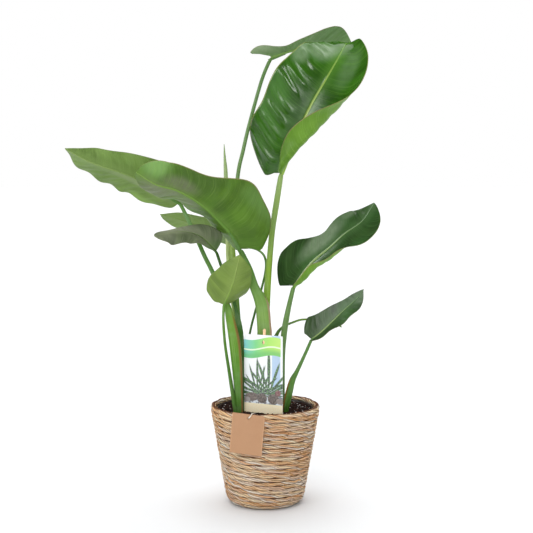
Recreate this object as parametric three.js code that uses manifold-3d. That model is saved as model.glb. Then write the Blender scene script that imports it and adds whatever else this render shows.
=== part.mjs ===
// Potted bird of paradise in a seagrass basket. Millimetres, +Z up, origin at the centre of the foot.
import * as THREE from "three";
import { mergeVertices } from "three/addons/utils/BufferGeometryUtils.js";
import Module from "manifold-3d";

const wasm = await Module();
wasm.setup();

// Driving dimensions
const GAP = 0.3;
const BASKET = {
  rimRadius: 98,
  rimHeight: 178.5,
  kneeRadius: 71.5,
  kneeHeight: 19,
  footRadius: 54,
  wall: 9.5,
  floor: 8,
  rows: 22,
  relief: 1.7,
  segments: 34,
};
const POT = { footRadius: 56, rimRadius: 84, rimHeight: 172.6, wall: 1.2, floor: 1.6, lip: 2, segments: 36 };
const SOIL = { level: 170.6, mound: 2.2, rough: 1.1, rings: [14, 30, 46, 62, 76] };
const CROWN = 136;
const CARD = {
  width: 75,
  height: 142,
  thick: 0.8,
  yaw: -26,
  centre: [-3, -52],
  bottom: 168,
  slot: { width: 5, height: 7, middle: 297 },
};
const STAKE = { radius: 2.8, top: 321, bottom: 118 };
const TAG = {
  width: 57,
  height: 72,
  thick: 0.7,
  azimuth: -101,
  reach: 96.5,
  aside: 13,
  lean: 4.5,
  spin: -5.5,
  centreHeight: 143,
  hole: { radius: 2, below: 7 },
};
const TWINE_RADIUS = 0.7;
const LAMINA = 0.9;

// Midrib through its points, from the petiole to the tip. "face" is where the upper side looks.
// Each half has its half-widths, its fold at the midrib and its curl up to the margin, in degrees.
const BLADES = {
  blade_top_front: {
    rib: [[28, -15, 590], [50, -32, 644], [77, -43, 705], [104, -42, 752], [125, -26, 788], [142, 6, 818],
      [150, 44, 822]],
    face: [[-0.1, -1, 0.3], [-0.1, -1, 0.2], [-0.1, -0.9, 0.4], [0, 0, 1]],
    left: { w: [84, 92, 82, 83, 72, 61, 50], fold: [-25, 8, 5], curl: [-10, 0, -10], lobe: 26,
      wave: [3, 4, 0.3] },
    right: { w: [46, 60, 88, 95, 71, 46, 28], fold: [80, 20, -5, 15], curl: [205, 135, 50, 15], lobe: 10,
      roll: [0.2, 0.8] },
    keel: [3.4, 4.2],
    across: [0, 0.18, 0.36, 0.54, 0.75, 1],
  },
  blade_top_back: {
    rib: [[10, 22, 795], [55, 45, 813], [93, 68, 822], [128, 92, 824], [164, 112, 822]],
    face: [[-0.1, 0.35, 0.93], [-0.1, 0.35, 0.93], [0, 0.45, 0.9]],
    left: { w: [34, 44, 44, 38, 28], fold: [10, 10], curl: [10, 10], lobe: 2 },
    right: { w: [50, 16, 23, 34, 42, 34, 22], fold: [62, 30, 22, 26, 28, 14], curl: [0, 0], lobe: 47 },
    keel: [2.8, 3.4],
  },
  blade_left_long: {
    rib: [[-154, 30, 538], [-190, 10, 560], [-234, -15, 586], [-302, -42, 611], [-343, -62, 634]],
    face: [[0.1, 0.75, 0.65], [0, 0.75, 0.65], [0, 0.75, 0.65]],
    left: { w: [52, 50, 38, 28, 20], fold: [35, 30], curl: [0, 0], lobe: 10, wave: [2, 4, 0.1] },
    right: { w: [24, 46, 56, 50, 40], fold: [0, 35], curl: [0, 0], lobe: 10, wave: [3, 5, 0.6] },
    keel: [3, 3.6],
  },
  blade_left_broad: {
    rib: [[-44, -50, 459], [-62, -62, 492], [-104, -78, 535], [-146, -95, 562], [-184, -110, 574],
      [-216, -116, 594]],
    face: [[0.1, 0.9, 0.4], [0.1, 0.9, 0.4], [0.1, 0.8, 0.5]],
    left: { w: [64, 80, 100, 68, 60, 70], fold: [35, -25, -5], curl: [10, 10], lobe: 35, tip: 0.5 },
    right: { w: [52, 56, 60, 50, 40], fold: [50, 40, 20], curl: [10, 10], lobe: 10, tip: 0.5,
      wave: [3, 4, 0] },
    keel: [3.6, 4.4],
  },
  blade_left_behind: {
    rib: [[-28, 60, 456], [-84, 68, 482], [-130, 62, 498], [-169, 52, 511], [-190, 40, 517]],
    face: [[0, 0.5, 0.9], [0, 0.5, 0.9]],
    left: { w: [28, 30, 30, 24, 20], fold: [15, 5], curl: [0, 0] },
    right: { w: [20, 34, 40, 34, 26], fold: [0, 0], curl: [0, 0] },
    keel: [2, 2.2],
  },
  blade_left_drooping: {
    rib: [[-86, -34, 456], [-113, -45, 482], [-142, -60, 491], [-173, -80, 488], [-188, -98, 486]],
    face: [[0, -0.5, 0.85], [0, -0.5, 0.85]],
    left: { w: [4, 15, 27, 27, 34], fold: [7, 2], curl: [-50, -40], tip: 0.6, wave: [3, 3, 0.5] },
    right: { w: [34, 28, 13, 9, 20], fold: [34, -12], curl: [20, 10] },
    keel: [2.2, 2.4],
  },
  blade_front_round: {
    rib: [[-72, -52, 363], [-66, -62, 376], [-57, -76, 398], [-50, -88, 424], [-43, -94, 454]],
    face: [[-0.1, 0.9, 0.3], [0, 0.9, 0.4]],
    left: { w: [52, 45, 36, 28, 18], fold: [40, 2], curl: [15, 10], lobe: 8 },
    right: { w: [32, 42, 41, 27, 18], fold: [13, 2], curl: [15, 10], lobe: 8 },
    keel: [2, 2.2],
  },
  blade_right_upper: {
    rib: [[50, -18, 391], [80, -34, 434], [113, -48, 464], [137, -56, 487], [168, -60, 510], [188, -60, 541]],
    face: [[-0.3, -0.8, 0.6], [-0.3, -0.8, 0.6]],
    left: { w: [86, 79, 76, 69, 50, 38, 35, 37, 37, 34, 31, 24, 14], fold: [-12, 6], curl: [0, 0], lobe: 28,
      tip: 0.7, wave: [2, 3, 0.08] },
    right: { w: [18, 36, 42, 49, 52, 33], fold: [5, -10, 0, 0], curl: [127, 108, 50, 0], lobe: 10,
      roll: [0.1, 0.9], wave: [3, 3.4, 0.35], tip: 0.6 },
    keel: [3, 3.6],
    across: [0, 0.25, 0.5, 0.75, 1],
  },
  blade_right_lower: {
    rib: [[81, -44, 300], [102, -58, 320], [133, -70, 353], [157, -76, 376], [169, -78, 393]],
    face: [[-0.4, -0.8, 0.5], [-0.4, -0.8, 0.5]],
    left: { w: [48, 34, 24, 14, 16], fold: [3, 13], curl: [0, 0], lobe: 12 },
    right: { w: [12, 17, 21, 19, 13], fold: [35, -15], curl: [20, 10, 0], lobe: 3, wave: [2, 3, 0.2] },
    keel: [2.2, 2.6],
  },
  blade_right_behind: {
    rib: [[79, 16, 329], [95, 24, 328], [112, 34, 324], [126, 44, 318], [140, 54, 309]],
    face: [[0, 0.1, 1], [0, 0.1, 1]],
    left: { w: [18, 18, 16, 12, 10], fold: [10, 10], curl: [0, 0] },
    right: { w: [18, 18, 16, 12, 10], fold: [10, 10], curl: [0, 0] },
    keel: [1.6, 1.8],
  },
};
// Where a blade has its cross-sections, and each section its points, unless the blade says otherwise.
const ALONG = [0, 0.02, 0.05, 0.1, 0.17, 0.25, 0.33, 0.41, 0.49, 0.57, 0.65, 0.73, 0.8, 0.86, 0.91, 0.95,
  0.98, 1];
const ACROSS = [0, 0.35, 0.7, 1];

// Petioles from the crown in the soil to the blade: x, y, z, half-width, half-depth.
const SHOOTS = {
  shoot_left: [
    ["blade_left_long", [
      [-45, -40, CROWN, 5, 5], [-46, -42, 193, 7, 7], [-52, -42, 282, 10, 7], [-61, -40, 335, 8, 6],
      [-69, -37, 366, 5.5, 5], [-93, -28, 419, 4, 4], [-108, -14, 447, 3.9, 3.9],
      [-126, 5, 485, 3.7, 3.7], [-146, 23, 524, 3.4, 3.4], [-154, 30, 538, 3.3, 3.3],
    ]],
    ["blade_top_back", [
      [-43, -39, CROWN, 5, 5], [-44, -35, 193, 5, 6], [-45, -30, 282, 5, 5], [-50, -20, 359, 5, 5],
      [-57, -6, 441, 5.2, 4.6], [-57, 0, 473, 4.4, 4.2], [-49, 8, 583, 3.6, 3.6],
      [-39, 12, 632, 3.4, 3.4], [-27, 15, 682, 3.3, 3.3], [-6, 20, 756, 3.2, 3.2],
      [10, 22, 795, 3.2, 3.2],
    ]],
    ["blade_left_drooping", [
      [-42, -37, CROWN, 4, 4], [-41, -33, 200, 4, 4], [-41, -27, 298, 3.4, 3.4], [-51, -27, 351, 3, 3],
      [-78, -28, 431, 2.7, 2.7], [-86, -34, 456, 2.5, 2.5],
    ]],
    ["blade_front_round", [
      [-47, -42, CROWN, 4, 4], [-54, -45, 185, 4, 4], [-63, -48, 244, 3, 3], [-70, -50, 292, 2.5, 2.5],
      [-73, -52, 336, 2.4, 2.4], [-72, -52, 363, 2.4, 2.4],
    ]],
    ["blade_left_behind", [
      [-42, -36, CROWN, 4, 4], [-39, -31, 193, 3.5, 3.5], [-34, -19, 250, 2.6, 2.6],
      [-28, -5, 303, 2.2, 2.2], [-18, 2, 344, 2.1, 2.1], [-8, 10, 379, 2.1, 2.1], [1, 18, 419, 2.1, 2.1],
      [-1, 34, 440, 2.1, 2.1], [-12, 49, 451, 2.1, 2.1], [-28, 60, 456, 2.1, 2.1],
    ]],
  ],
  shoot_centre: [
    ["blade_left_broad", [
      [-1, -24, CROWN, 9, 8], [-1, -26, 200, 12, 9], [-1, -26, 300, 13, 9], [-2, -27, 324, 12.5, 9],
      [-6, -28, 362, 12, 8], [-19, -31, 392, 8.2, 6.5], [-29, -37, 423, 7.2, 6], [-40, -46, 451, 5, 5],
      [-44, -50, 459, 4, 4],
    ]],
    ["blade_top_front", [
      [0, -20, CROWN, 7, 7], [0, -16, 240, 9, 8], [0, -12, 312, 8, 8], [4, -6, 384, 6.5, 6.5],
      [8, -3, 437, 5.6, 5.6], [13, -6, 491, 5.4, 5.4], [21, -10, 544, 5.6, 5.2],
      [27, -14, 583, 4.6, 4.4], [28, -15, 590, 4, 4],
    ]],
  ],
  shoot_right: [
    ["blade_right_upper", [
      [32, -26, CROWN, 5, 5], [30, -16, 186, 5.5, 6], [30, -11, 240, 5.5, 6], [31, -10, 277, 5.4, 5.6],
      [35, -12, 317, 5.6, 5], [42, -14, 355, 4.6, 4.4], [49, -18, 386, 3.9, 3.9],
      [50, -18, 391, 3.6, 3.6],
    ]],
    ["blade_right_lower", [
      [34, -32, CROWN, 5, 6], [36, -40, 173, 5.6, 7], [39, -41, 192, 6.6, 7], [43, -41, 210, 6.3, 6],
      [48, -40, 228, 5.4, 5], [57, -40, 246, 3.6, 3.6], [69, -41, 272, 2.9, 2.9],
      [80, -44, 298, 2.7, 2.7], [81, -44, 300, 2.6, 2.6],
    ]],
    ["blade_right_behind", [
      [28, -20, CROWN, 5, 5], [24, -6, 180, 4.5, 5], [20, 4, 240, 4.2, 4.4], [18, 9, 288, 4, 4],
      [23, 11, 306, 3, 3], [34, 12, 317, 2.2, 2.2], [48, 12, 323, 2, 2], [63, 14, 328, 1.9, 1.9],
      [79, 16, 329, 1.8, 1.8],
    ]],
  ],
};
const SPEAR = [
  [-53, -22, 330, 2.6, 2.6], [-62, -4, 390, 3.4, 3.4], [-66, 6, 441, 4, 4], [-67, 8, 480, 4.1, 4.1],
  [-70, 10, 583, 3.8, 3.8], [-72, 11, 620, 2, 2], [-73, 12, 643, 0.5, 0.5],
];

const material = (color, roughness) => new THREE.MeshStandardMaterial({ color, roughness });
const SEAGRASS = material(0xc4a273, 0.85);
const POT_PLASTIC = material(0x24211f, 0.55);
const EARTH = material(0x3b2a20, 0.95);
const LEAF_DARK = material(0x2f6a2c, 0.4);
const LEAF_MID = material(0x4f8a35, 0.45);
const LEAF_PALE = material(0x7da44f, 0.5);
const PETIOLE = material(0x6b9a4a, 0.5);
const NEW_LEAF = material(0xb9cf8f, 0.5);
const CARD_STOCK = material(0xe9eef0, 0.4);
const STICK = material(0xe0a986, 0.7);
const KRAFT = material(0xc29b72, 0.9);
const TWINE = material(0xe6e0d2, 0.9);

const root = new THREE.Group();
root.name = "potted_bird_of_paradise";

function add(name, geometry, look) {
  const mesh = new THREE.Mesh(geometry, look);
  mesh.name = name;
  root.add(mesh);
}

// Smooth interpolation through evenly spaced keys, numbers or vectors, s from 0 to 1.
function spline(keys, s) {
  if (!Array.isArray(keys[0])) return spline(keys.map((k) => [k]), s)[0];
  const n = keys.length;
  const x = Math.min(Math.max(s, 0), 1) * (n - 1);
  const i = Math.min(Math.floor(x), n - 2);
  const f = x - i;
  const key = (j, c) => {
    if (j < 0) return 2 * keys[0][c] - keys[1][c];
    if (j > n - 1) return 2 * keys[n - 1][c] - keys[n - 2][c];
    return keys[j][c];
  };
  return keys[0].map((_, c) => {
    const [p, q, r, t] = [key(i - 1, c), key(i, c), key(i + 1, c), key(i + 2, c)];
    const bend = (2 * p - 5 * q + 4 * r - t) * f ** 2 + (3 * q - p - 3 * r + t) * f ** 3;
    return 0.5 * (2 * q + (r - p) * f + bend);
  });
}

// The spline parameter at an even share of the curve's length.
function evenly(keys) {
  const steps = 160;
  const at = [0];
  let last = spline(keys, 0);
  for (let i = 1; i <= steps; i += 1) {
    const next = spline(keys, i / steps);
    at.push(at[i - 1] + Math.hypot(next[0] - last[0], next[1] - last[1], next[2] - last[2]));
    last = next;
  }
  return (share) => {
    const target = share * at[steps];
    let i = 0;
    while (i < steps - 1 && at[i + 1] < target) i += 1;
    return (i + (target - at[i]) / (at[i + 1] - at[i])) / steps;
  };
}

const smooth = (t) => {
  const c = Math.min(Math.max(t, 0), 1);
  return c * c * (3 - 2 * c);
};
const vector = (a) => new THREE.Vector3(a[0], a[1], a[2]);

function halfWidth(half, s) {
  const base = Math.min(s / 0.15, 1);
  const tip = Math.min((1 - s) / 0.25, 1);
  const shape = Math.sqrt(1 - (1 - base) ** 2) * Math.sin((tip * Math.PI) / 2) ** (half.tip ?? 0.9);
  return Math.max(spline(half.w, s) * shape, 0.5);
}

// Tangent, upward normal and right-hand side of a blade at s.
function frameAt(blade, at, s) {
  const u = at(s);
  const tangent = vector(spline(blade.rib, Math.min(u + 0.002, 1)))
    .sub(vector(spline(blade.rib, Math.max(u - 0.002, 0))))
    .normalize();
  const up = vector(spline(blade.face, s));
  up.addScaledVector(tangent, -up.dot(tangent)).normalize();
  return { origin: vector(spline(blade.rib, u)), tangent, up, side: tangent.clone().cross(up) };
}

// A point of one half, "reach" millimetres from the midrib along the leaf, and the normal there.
function halfPoint(blade, frame, half, sign, s, reach, width) {
  const full = Math.max(width, reach);
  const [lo, hi] = half.roll ?? [0, 1];
  const fold = THREE.MathUtils.degToRad(spline(half.fold, s));
  const curl = THREE.MathUtils.degToRad(spline(half.curl, s));
  const angle = (t) => fold + curl * smooth((t - lo) / (hi - lo));
  const t = reach / full;
  let out = 0;
  let lift = 0;
  const steps = 32;
  for (let i = 0; i < steps; i += 1) {
    const a = angle(((i + 0.5) / steps) * t);
    out += (Math.cos(a) * reach) / steps;
    lift += (Math.sin(a) * reach) / steps;
  }
  const phi = angle(t);
  const [height, count, phase] = half.wave ?? [0, 1, 0];
  const swell = Math.sqrt(Math.max(4 * s * (1 - s), 0)) * t * t;
  const ripple = height * swell * Math.sin(2 * Math.PI * (count * s + phase));
  out -= Math.sin(phi) * ripple;
  lift += Math.cos(phi) * ripple;
  const back = (half.lobe ?? 0) * (1 - s) ** 8 * smooth((reach - 5) / (0.35 * Math.max(...half.w)));
  const point = frame.origin
    .clone()
    .addScaledVector(frame.side, sign * out)
    .addScaledVector(frame.up, lift)
    .addScaledVector(frame.tangent, -back);
  const normal = frame.up
    .clone()
    .multiplyScalar(Math.cos(phi))
    .addScaledVector(frame.side, -sign * Math.sin(phi));
  return { point, normal };
}

// One blade: lamina with a keel under the midrib, the same split on both faces.
function bladeGeometry(blade) {
  const at = evenly(blade.rib);
  const across = blade.across ?? ACROSS;
  const upper = [];
  const lower = [];
  for (const s of ALONG) {
    const frame = frameAt(blade, at, s);
    const fade = 1 - 0.8 * s;
    const [keelHalf, keelDeep] = blade.keel;
    const rows = { left: [], right: [] };
    for (const [key, sign] of [["left", -1], ["right", 1]]) {
      const edge = keelHalf * fade;
      const width = Math.max(halfWidth(blade[key], s), edge + 0.6);
      for (const t of across) {
        rows[key].push(halfPoint(blade, frame, blade[key], sign, s, edge + (width - edge) * t, width));
      }
    }
    const line = [
      ...rows.left.reverse(),
      { point: frame.origin.clone(), normal: frame.up.clone(), keel: keelDeep * fade },
      ...rows.right,
    ];
    upper.push(line.map((p) => p.point.clone().addScaledVector(p.normal, LAMINA / 2)));
    lower.push(line.map((p) => p.point.clone().addScaledVector(p.normal, -LAMINA / 2 - (p.keel ?? 0))));
  }
  const m = upper[0].length;
  const positions = [...upper.flat(), ...lower.flat()].flatMap((p) => [p.x, p.y, p.z]);
  const top = (i, j) => i * m + j;
  const bottom = (i, j) => (upper.length + i) * m + j;
  const faces = [];
  const quad = (a, b, c, d) => faces.push(a, b, c, a, c, d);
  for (let i = 0; i < upper.length - 1; i += 1) {
    for (let j = 0; j < m - 1; j += 1) {
      quad(top(i, j), top(i, j + 1), top(i + 1, j + 1), top(i + 1, j));
      const [a, b, c, d] = [bottom(i, j), bottom(i, j + 1), bottom(i + 1, j + 1), bottom(i + 1, j)];
      faces.push(a, c, b, a, d, c);
    }
    quad(top(i, 0), top(i + 1, 0), bottom(i + 1, 0), bottom(i, 0));
    quad(top(i, m - 1), bottom(i, m - 1), bottom(i + 1, m - 1), top(i + 1, m - 1));
  }
  const e = upper.length - 1;
  for (let j = 0; j < m - 1; j += 1) {
    quad(top(0, j), bottom(0, j), bottom(0, j + 1), top(0, j + 1));
    quad(top(e, j), top(e, j + 1), bottom(e, j + 1), bottom(e, j));
  }
  return meshOf(positions, faces);
}

function meshOf(positions, faces) {
  const geometry = new THREE.BufferGeometry();
  geometry.setAttribute("position", new THREE.Float32BufferAttribute(positions, 3));
  geometry.setIndex(faces);
  geometry.computeVertexNormals();
  return geometry;
}

// A petiole, run a little past its blade's foot and cut off square just short of it.
function cutAtBlade(name, keys, grow = 0) {
  const blade = BLADES[name];
  const { origin, tangent } = frameAt(blade, evenly(blade.rib), 0);
  const last = keys[keys.length - 1];
  const past = origin.clone().addScaledVector(tangent, 4).toArray();
  const body = solidOf(tube([...keys, [...past, last[3], last[4]]], { grow }));
  return body.trimByPlane(tangent.clone().negate().toArray(), GAP - tangent.dot(origin));
}

// A tube through keys of x, y, z, half-width, half-depth; "grow" widens it, for the hole that it stands in.
function tube(keys, { sides = 8, stations = 14, grow = 0 } = {}) {
  const at = evenly(keys);
  const positions = [];
  const faces = [];
  for (let i = 0; i <= stations; i += 1) {
    const u = at(i / stations);
    const [x, y, z, a, b] = spline(keys, u);
    const tangent = vector(spline(keys, Math.min(u + 0.002, 1)))
      .sub(vector(spline(keys, Math.max(u - 0.002, 0))))
      .normalize();
    const across = new THREE.Vector3(0, -1, 0).cross(tangent).normalize();
    const deep = tangent.clone().cross(across);
    for (let k = 0; k < sides; k += 1) {
      const turn = (2 * Math.PI * k) / sides;
      const p = new THREE.Vector3(x, y, z)
        .addScaledVector(across, Math.cos(turn) * (a + grow))
        .addScaledVector(deep, Math.sin(turn) * (b + grow));
      positions.push(p.x, p.y, p.z);
    }
  }
  for (let i = 0; i < stations; i += 1) {
    for (let k = 0; k < sides; k += 1) {
      const [a, b] = [i * sides + k, i * sides + ((k + 1) % sides)];
      faces.push(a, b, b + sides, a, b + sides, a + sides);
    }
  }
  const last = stations * sides;
  for (let k = 1; k < sides - 1; k += 1) {
    faces.push(0, k + 1, k, last, last + k, last + k + 1);
  }
  return meshOf(positions, faces);
}

// Turns a profile of radius, height, from the axis below to the axis above, round the Z axis.
function revolve(profile, segments, lift = () => 0) {
  const positions = [];
  const faces = [];
  const n = profile.length;
  positions.push(0, 0, profile[0][1] + lift(0, 0, 0));
  for (let i = 1; i < n - 1; i += 1) {
    const [radius, height] = profile[i];
    for (let k = 0; k < segments; k += 1) {
      const turn = (2 * Math.PI * k) / segments;
      positions.push(radius * Math.cos(turn), radius * Math.sin(turn), height + lift(i, radius, turn));
    }
  }
  positions.push(0, 0, profile[n - 1][1] + lift(n - 1, 0, 0));
  const ring = (i, k) => 1 + (i - 1) * segments + (k % segments);
  const pole = positions.length / 3 - 1;
  for (let k = 0; k < segments; k += 1) {
    faces.push(0, ring(1, k + 1), ring(1, k));
    for (let i = 1; i < n - 2; i += 1) {
      const [a, b, c, d] = [ring(i, k), ring(i, k + 1), ring(i + 1, k + 1), ring(i + 1, k)];
      faces.push(a, b, c, a, c, d);
    }
    faces.push(ring(n - 2, k), ring(n - 2, k + 1), pole);
  }
  return meshOf(positions, faces);
}

function solidOf(geometry) {
  return new wasm.Manifold(
    new wasm.Mesh({
      numProp: 3,
      vertProperties: new Float32Array(geometry.attributes.position.array),
      triVerts: new Uint32Array(geometry.index.array),
    }),
  );
}

function plainBox(x, y, z, height) {
  const box = new THREE.BoxGeometry(x, y, z).translate(0, 0, height);
  box.deleteAttribute("normal");
  box.deleteAttribute("uv");
  return mergeVertices(box);
}

function geometryOf(solid) {
  const mesh = solid.getMesh();
  return meshOf([...mesh.vertProperties], [...mesh.triVerts]);
}

// Basket: rope rows as ridges outside, plain inside, a flat woven foot.
function basketProfile() {
  const b = BASKET;
  const points = [[0, 0], [b.footRadius, 0]];
  const wallRadius = (z) => b.kneeRadius + ((b.rimRadius - 1 - b.kneeRadius) * (z - b.kneeHeight)) /
    (b.rimHeight - b.kneeHeight);
  const cornerSteps = 3;
  for (let i = 1; i <= cornerSteps; i += 1) {
    const turn = (i / cornerSteps) * (Math.PI / 2);
    const radius = b.footRadius + (b.kneeRadius - b.footRadius) * Math.sin(turn);
    points.push([radius - (i % 2 ? 0 : 0.6), b.kneeHeight * (1 - Math.cos(turn))]);
  }
  const pitch = (b.rimHeight - 9 - b.kneeHeight) / (b.rows - 3);
  for (let i = 0; i < b.rows - 3; i += 1) {
    const z = b.kneeHeight + i * pitch;
    points.push([wallRadius(z + 0.3 * pitch), z + 0.25 * pitch]);
    points.push([wallRadius(z + 0.7 * pitch), z + 0.75 * pitch]);
    points.push([wallRadius(z + pitch) - b.relief, z + pitch]);
  }
  const top = b.rimHeight;
  points.push([b.rimRadius - 0.3, top - 7], [b.rimRadius, top - 4], [b.rimRadius - 2.2, top - 1]);
  points.push([b.rimRadius - 4.7, top], [b.rimRadius - 7.5, top - 1], [b.rimRadius - b.wall, top - 4]);
  points.push([b.rimRadius - b.wall, top - 8], [67, 26], [60, b.floor], [0, b.floor]);
  return points;
}
add("basket", revolve(basketProfile(), BASKET.segments), SEAGRASS);

// Nursery pot on the basket's floor
const potBase = BASKET.floor + GAP;
const potInner = (z) => POT.footRadius - POT.wall +
  ((POT.rimRadius - POT.footRadius) * (z - potBase)) / (POT.rimHeight - potBase);
add("nursery_pot", revolve([
  [0, potBase],
  [POT.footRadius, potBase],
  [POT.rimRadius - 0.4, POT.rimHeight - 5],
  [POT.rimRadius + POT.lip, POT.rimHeight - 5],
  [POT.rimRadius + POT.lip, POT.rimHeight],
  [POT.rimRadius - POT.wall, POT.rimHeight],
  [potInner(potBase + POT.floor), potBase + POT.floor],
  [0, potBase + POT.floor],
], POT.segments), POT_PLASTIC);

// Shoots: the petioles of one fan, grown together at the crown; the spear stands in the left fan
const shoots = {};
const spear = solidOf(tube(SPEAR, { stations: 10 }));
const spearHole = solidOf(tube(SPEAR, { stations: 10, grow: GAP }));
const holes = [];
for (const [name, petioles] of Object.entries(SHOOTS)) {
  const bodies = petioles.map(([blade, keys]) => cutAtBlade(blade, keys));
  let fan = wasm.Manifold.union(bodies);
  if (name === "shoot_left") fan = fan.subtract(spearHole);
  shoots[name] = fan;
  for (const [blade, keys] of petioles) holes.push(cutAtBlade(blade, keys, GAP));
}
for (const [name, solid] of Object.entries(shoots)) add(name, geometryOf(solid), PETIOLE);
add("spear_leaf", geometryOf(spear), NEW_LEAF);

// Label card on its stake, behind the card
const cardTurn = THREE.MathUtils.degToRad(CARD.yaw);
const cardPlace = new THREE.Matrix4()
  .makeRotationZ(cardTurn)
  .setPosition(CARD.centre[0], CARD.centre[1], 0);
const cardBody = solidOf(plainBox(CARD.width, CARD.thick, CARD.height, CARD.bottom + CARD.height / 2));
const slotBody = solidOf(plainBox(CARD.slot.width, 4 * CARD.thick, CARD.slot.height, CARD.slot.middle));
add("label_card", geometryOf(cardBody.subtract(slotBody)).applyMatrix4(cardPlace), CARD_STOCK);

const stakeOffset = CARD.thick / 2 + GAP + STAKE.radius;
const stakeFoot = new THREE.Vector3(0, stakeOffset, 0).applyMatrix4(cardPlace);
const stakeAt = (height, radius) => [stakeFoot.x, stakeFoot.y, height, radius, radius];
const stakeKeys = [stakeAt(STAKE.bottom, STAKE.radius), stakeAt(STAKE.top - 1.5, STAKE.radius)];
const stakeTip = [...stakeKeys, stakeAt(STAKE.top, STAKE.radius - 1)];
add("label_stake", tube(stakeTip, { sides: 12, stations: 8 }), STICK);
holes.push(solidOf(tube(stakeKeys, { sides: 12, stations: 2, grow: GAP })));
const cardSlotDepth = 20;
const cardSlot = plainBox(CARD.width + 2 * GAP, CARD.thick + 2 * GAP, cardSlotDepth,
  CARD.bottom - GAP + cardSlotDepth / 2);
holes.push(solidOf(cardSlot.applyMatrix4(cardPlace)));

// Soil in the pot, with the holes that the shoots and the stake stand in
const soilBase = potBase + POT.floor + GAP;
const soilEdge = potInner(SOIL.level) - GAP;
const unevenness = (i, radius, turn) => {
  if (i < 2) return 0;
  const mound = SOIL.mound * (1 - (radius / soilEdge) ** 2);
  const x = radius * Math.cos(turn);
  const y = radius * Math.sin(turn);
  return mound + SOIL.rough * (Math.sin(x / 9 + 1) * Math.cos(y / 11) + 0.5 * Math.sin(x / 4 + y / 5));
};
const soilBlock = revolve([
  [0, soilBase],
  [potInner(soilBase) - GAP, soilBase],
  [soilEdge, SOIL.level],
  ...[...SOIL.rings].reverse().map((r) => [r, SOIL.level]),
  [0, SOIL.level],
], POT.segments, unevenness);
const crowded = solidOf(soilBlock).subtract(wasm.Manifold.union(holes));
add("soil", geometryOf(crowded), EARTH);

// Blades
const looks = {
  blade_top_front: LEAF_MID,
  blade_top_back: LEAF_DARK,
  blade_left_long: LEAF_PALE,
  blade_left_broad: LEAF_MID,
  blade_left_behind: LEAF_PALE,
  blade_left_drooping: LEAF_DARK,
  blade_front_round: LEAF_PALE,
  blade_right_upper: LEAF_DARK,
  blade_right_lower: LEAF_DARK,
  blade_right_behind: LEAF_MID,
};
for (const [name, blade] of Object.entries(BLADES)) add(name, bladeGeometry(blade), looks[name]);

// Kraft tag, hung by its twine over the rim: it meets the rim and stands off the wall lower down
const tagTurn = THREE.MathUtils.degToRad(TAG.azimuth);
const tagPlace = new THREE.Matrix4()
  .makeTranslation(TAG.reach * Math.cos(tagTurn), TAG.reach * Math.sin(tagTurn), TAG.centreHeight)
  .multiply(new THREE.Matrix4().makeRotationZ(tagTurn))
  .multiply(new THREE.Matrix4().makeTranslation(0, -TAG.aside, 0))
  .multiply(new THREE.Matrix4().makeRotationY(THREE.MathUtils.degToRad(TAG.lean)))
  .multiply(new THREE.Matrix4().makeRotationX(THREE.MathUtils.degToRad(TAG.spin)));
const tagHoleHeight = TAG.height / 2 - TAG.hole.below;
const tagBody = solidOf(plainBox(TAG.thick, TAG.width, TAG.height, 0));
const punchAt = (x) => [x, 0, tagHoleHeight, TAG.hole.radius, TAG.hole.radius];
const punch = solidOf(tube([punchAt(-4 * TAG.thick), punchAt(4 * TAG.thick)], { sides: 16, stations: 1 }));
add("kraft_tag", geometryOf(tagBody.subtract(punch)).applyMatrix4(tagPlace), KRAFT);

const knot = (x, y, z) => new THREE.Vector3(x, y, z).applyMatrix4(tagPlace);
const rimTop = BASKET.rimHeight + GAP + TWINE_RADIUS;
const onRim = (radius, degrees, z) => [
  radius * Math.cos(THREE.MathUtils.degToRad(degrees)),
  radius * Math.sin(THREE.MathUtils.degToRad(degrees)),
  z,
];
const twineKeys = [
  knot(0.2, 0, tagHoleHeight).toArray(),
  knot(1.8, 0.3, tagHoleHeight + 0.8).toArray(),
  knot(1.6, 2.6, tagHoleHeight + 4).toArray(),
  knot(1.4, 4.6, TAG.height / 2 + 0.6).toArray(),
  knot(-0.6, 5.6, TAG.height / 2 + 1.9).toArray(),
  onRim(BASKET.rimRadius - 4.7, -103.5, rimTop + 0.1),
  onRim(BASKET.rimRadius - 8, -103, rimTop - 0.8),
  onRim(BASKET.rimRadius - BASKET.wall - 1.2, -102.5, rimTop - 5),
].map((p) => [...p, TWINE_RADIUS, TWINE_RADIUS]);
add("tag_string", tube(twineKeys, { sides: 8, stations: 16 }), TWINE);

export default root;
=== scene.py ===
# Potted bird of paradise in a rope basket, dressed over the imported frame. Metres, Z up.
import bpy
import bmesh
import math
import random
from mathutils import Matrix, Vector, noise


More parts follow.
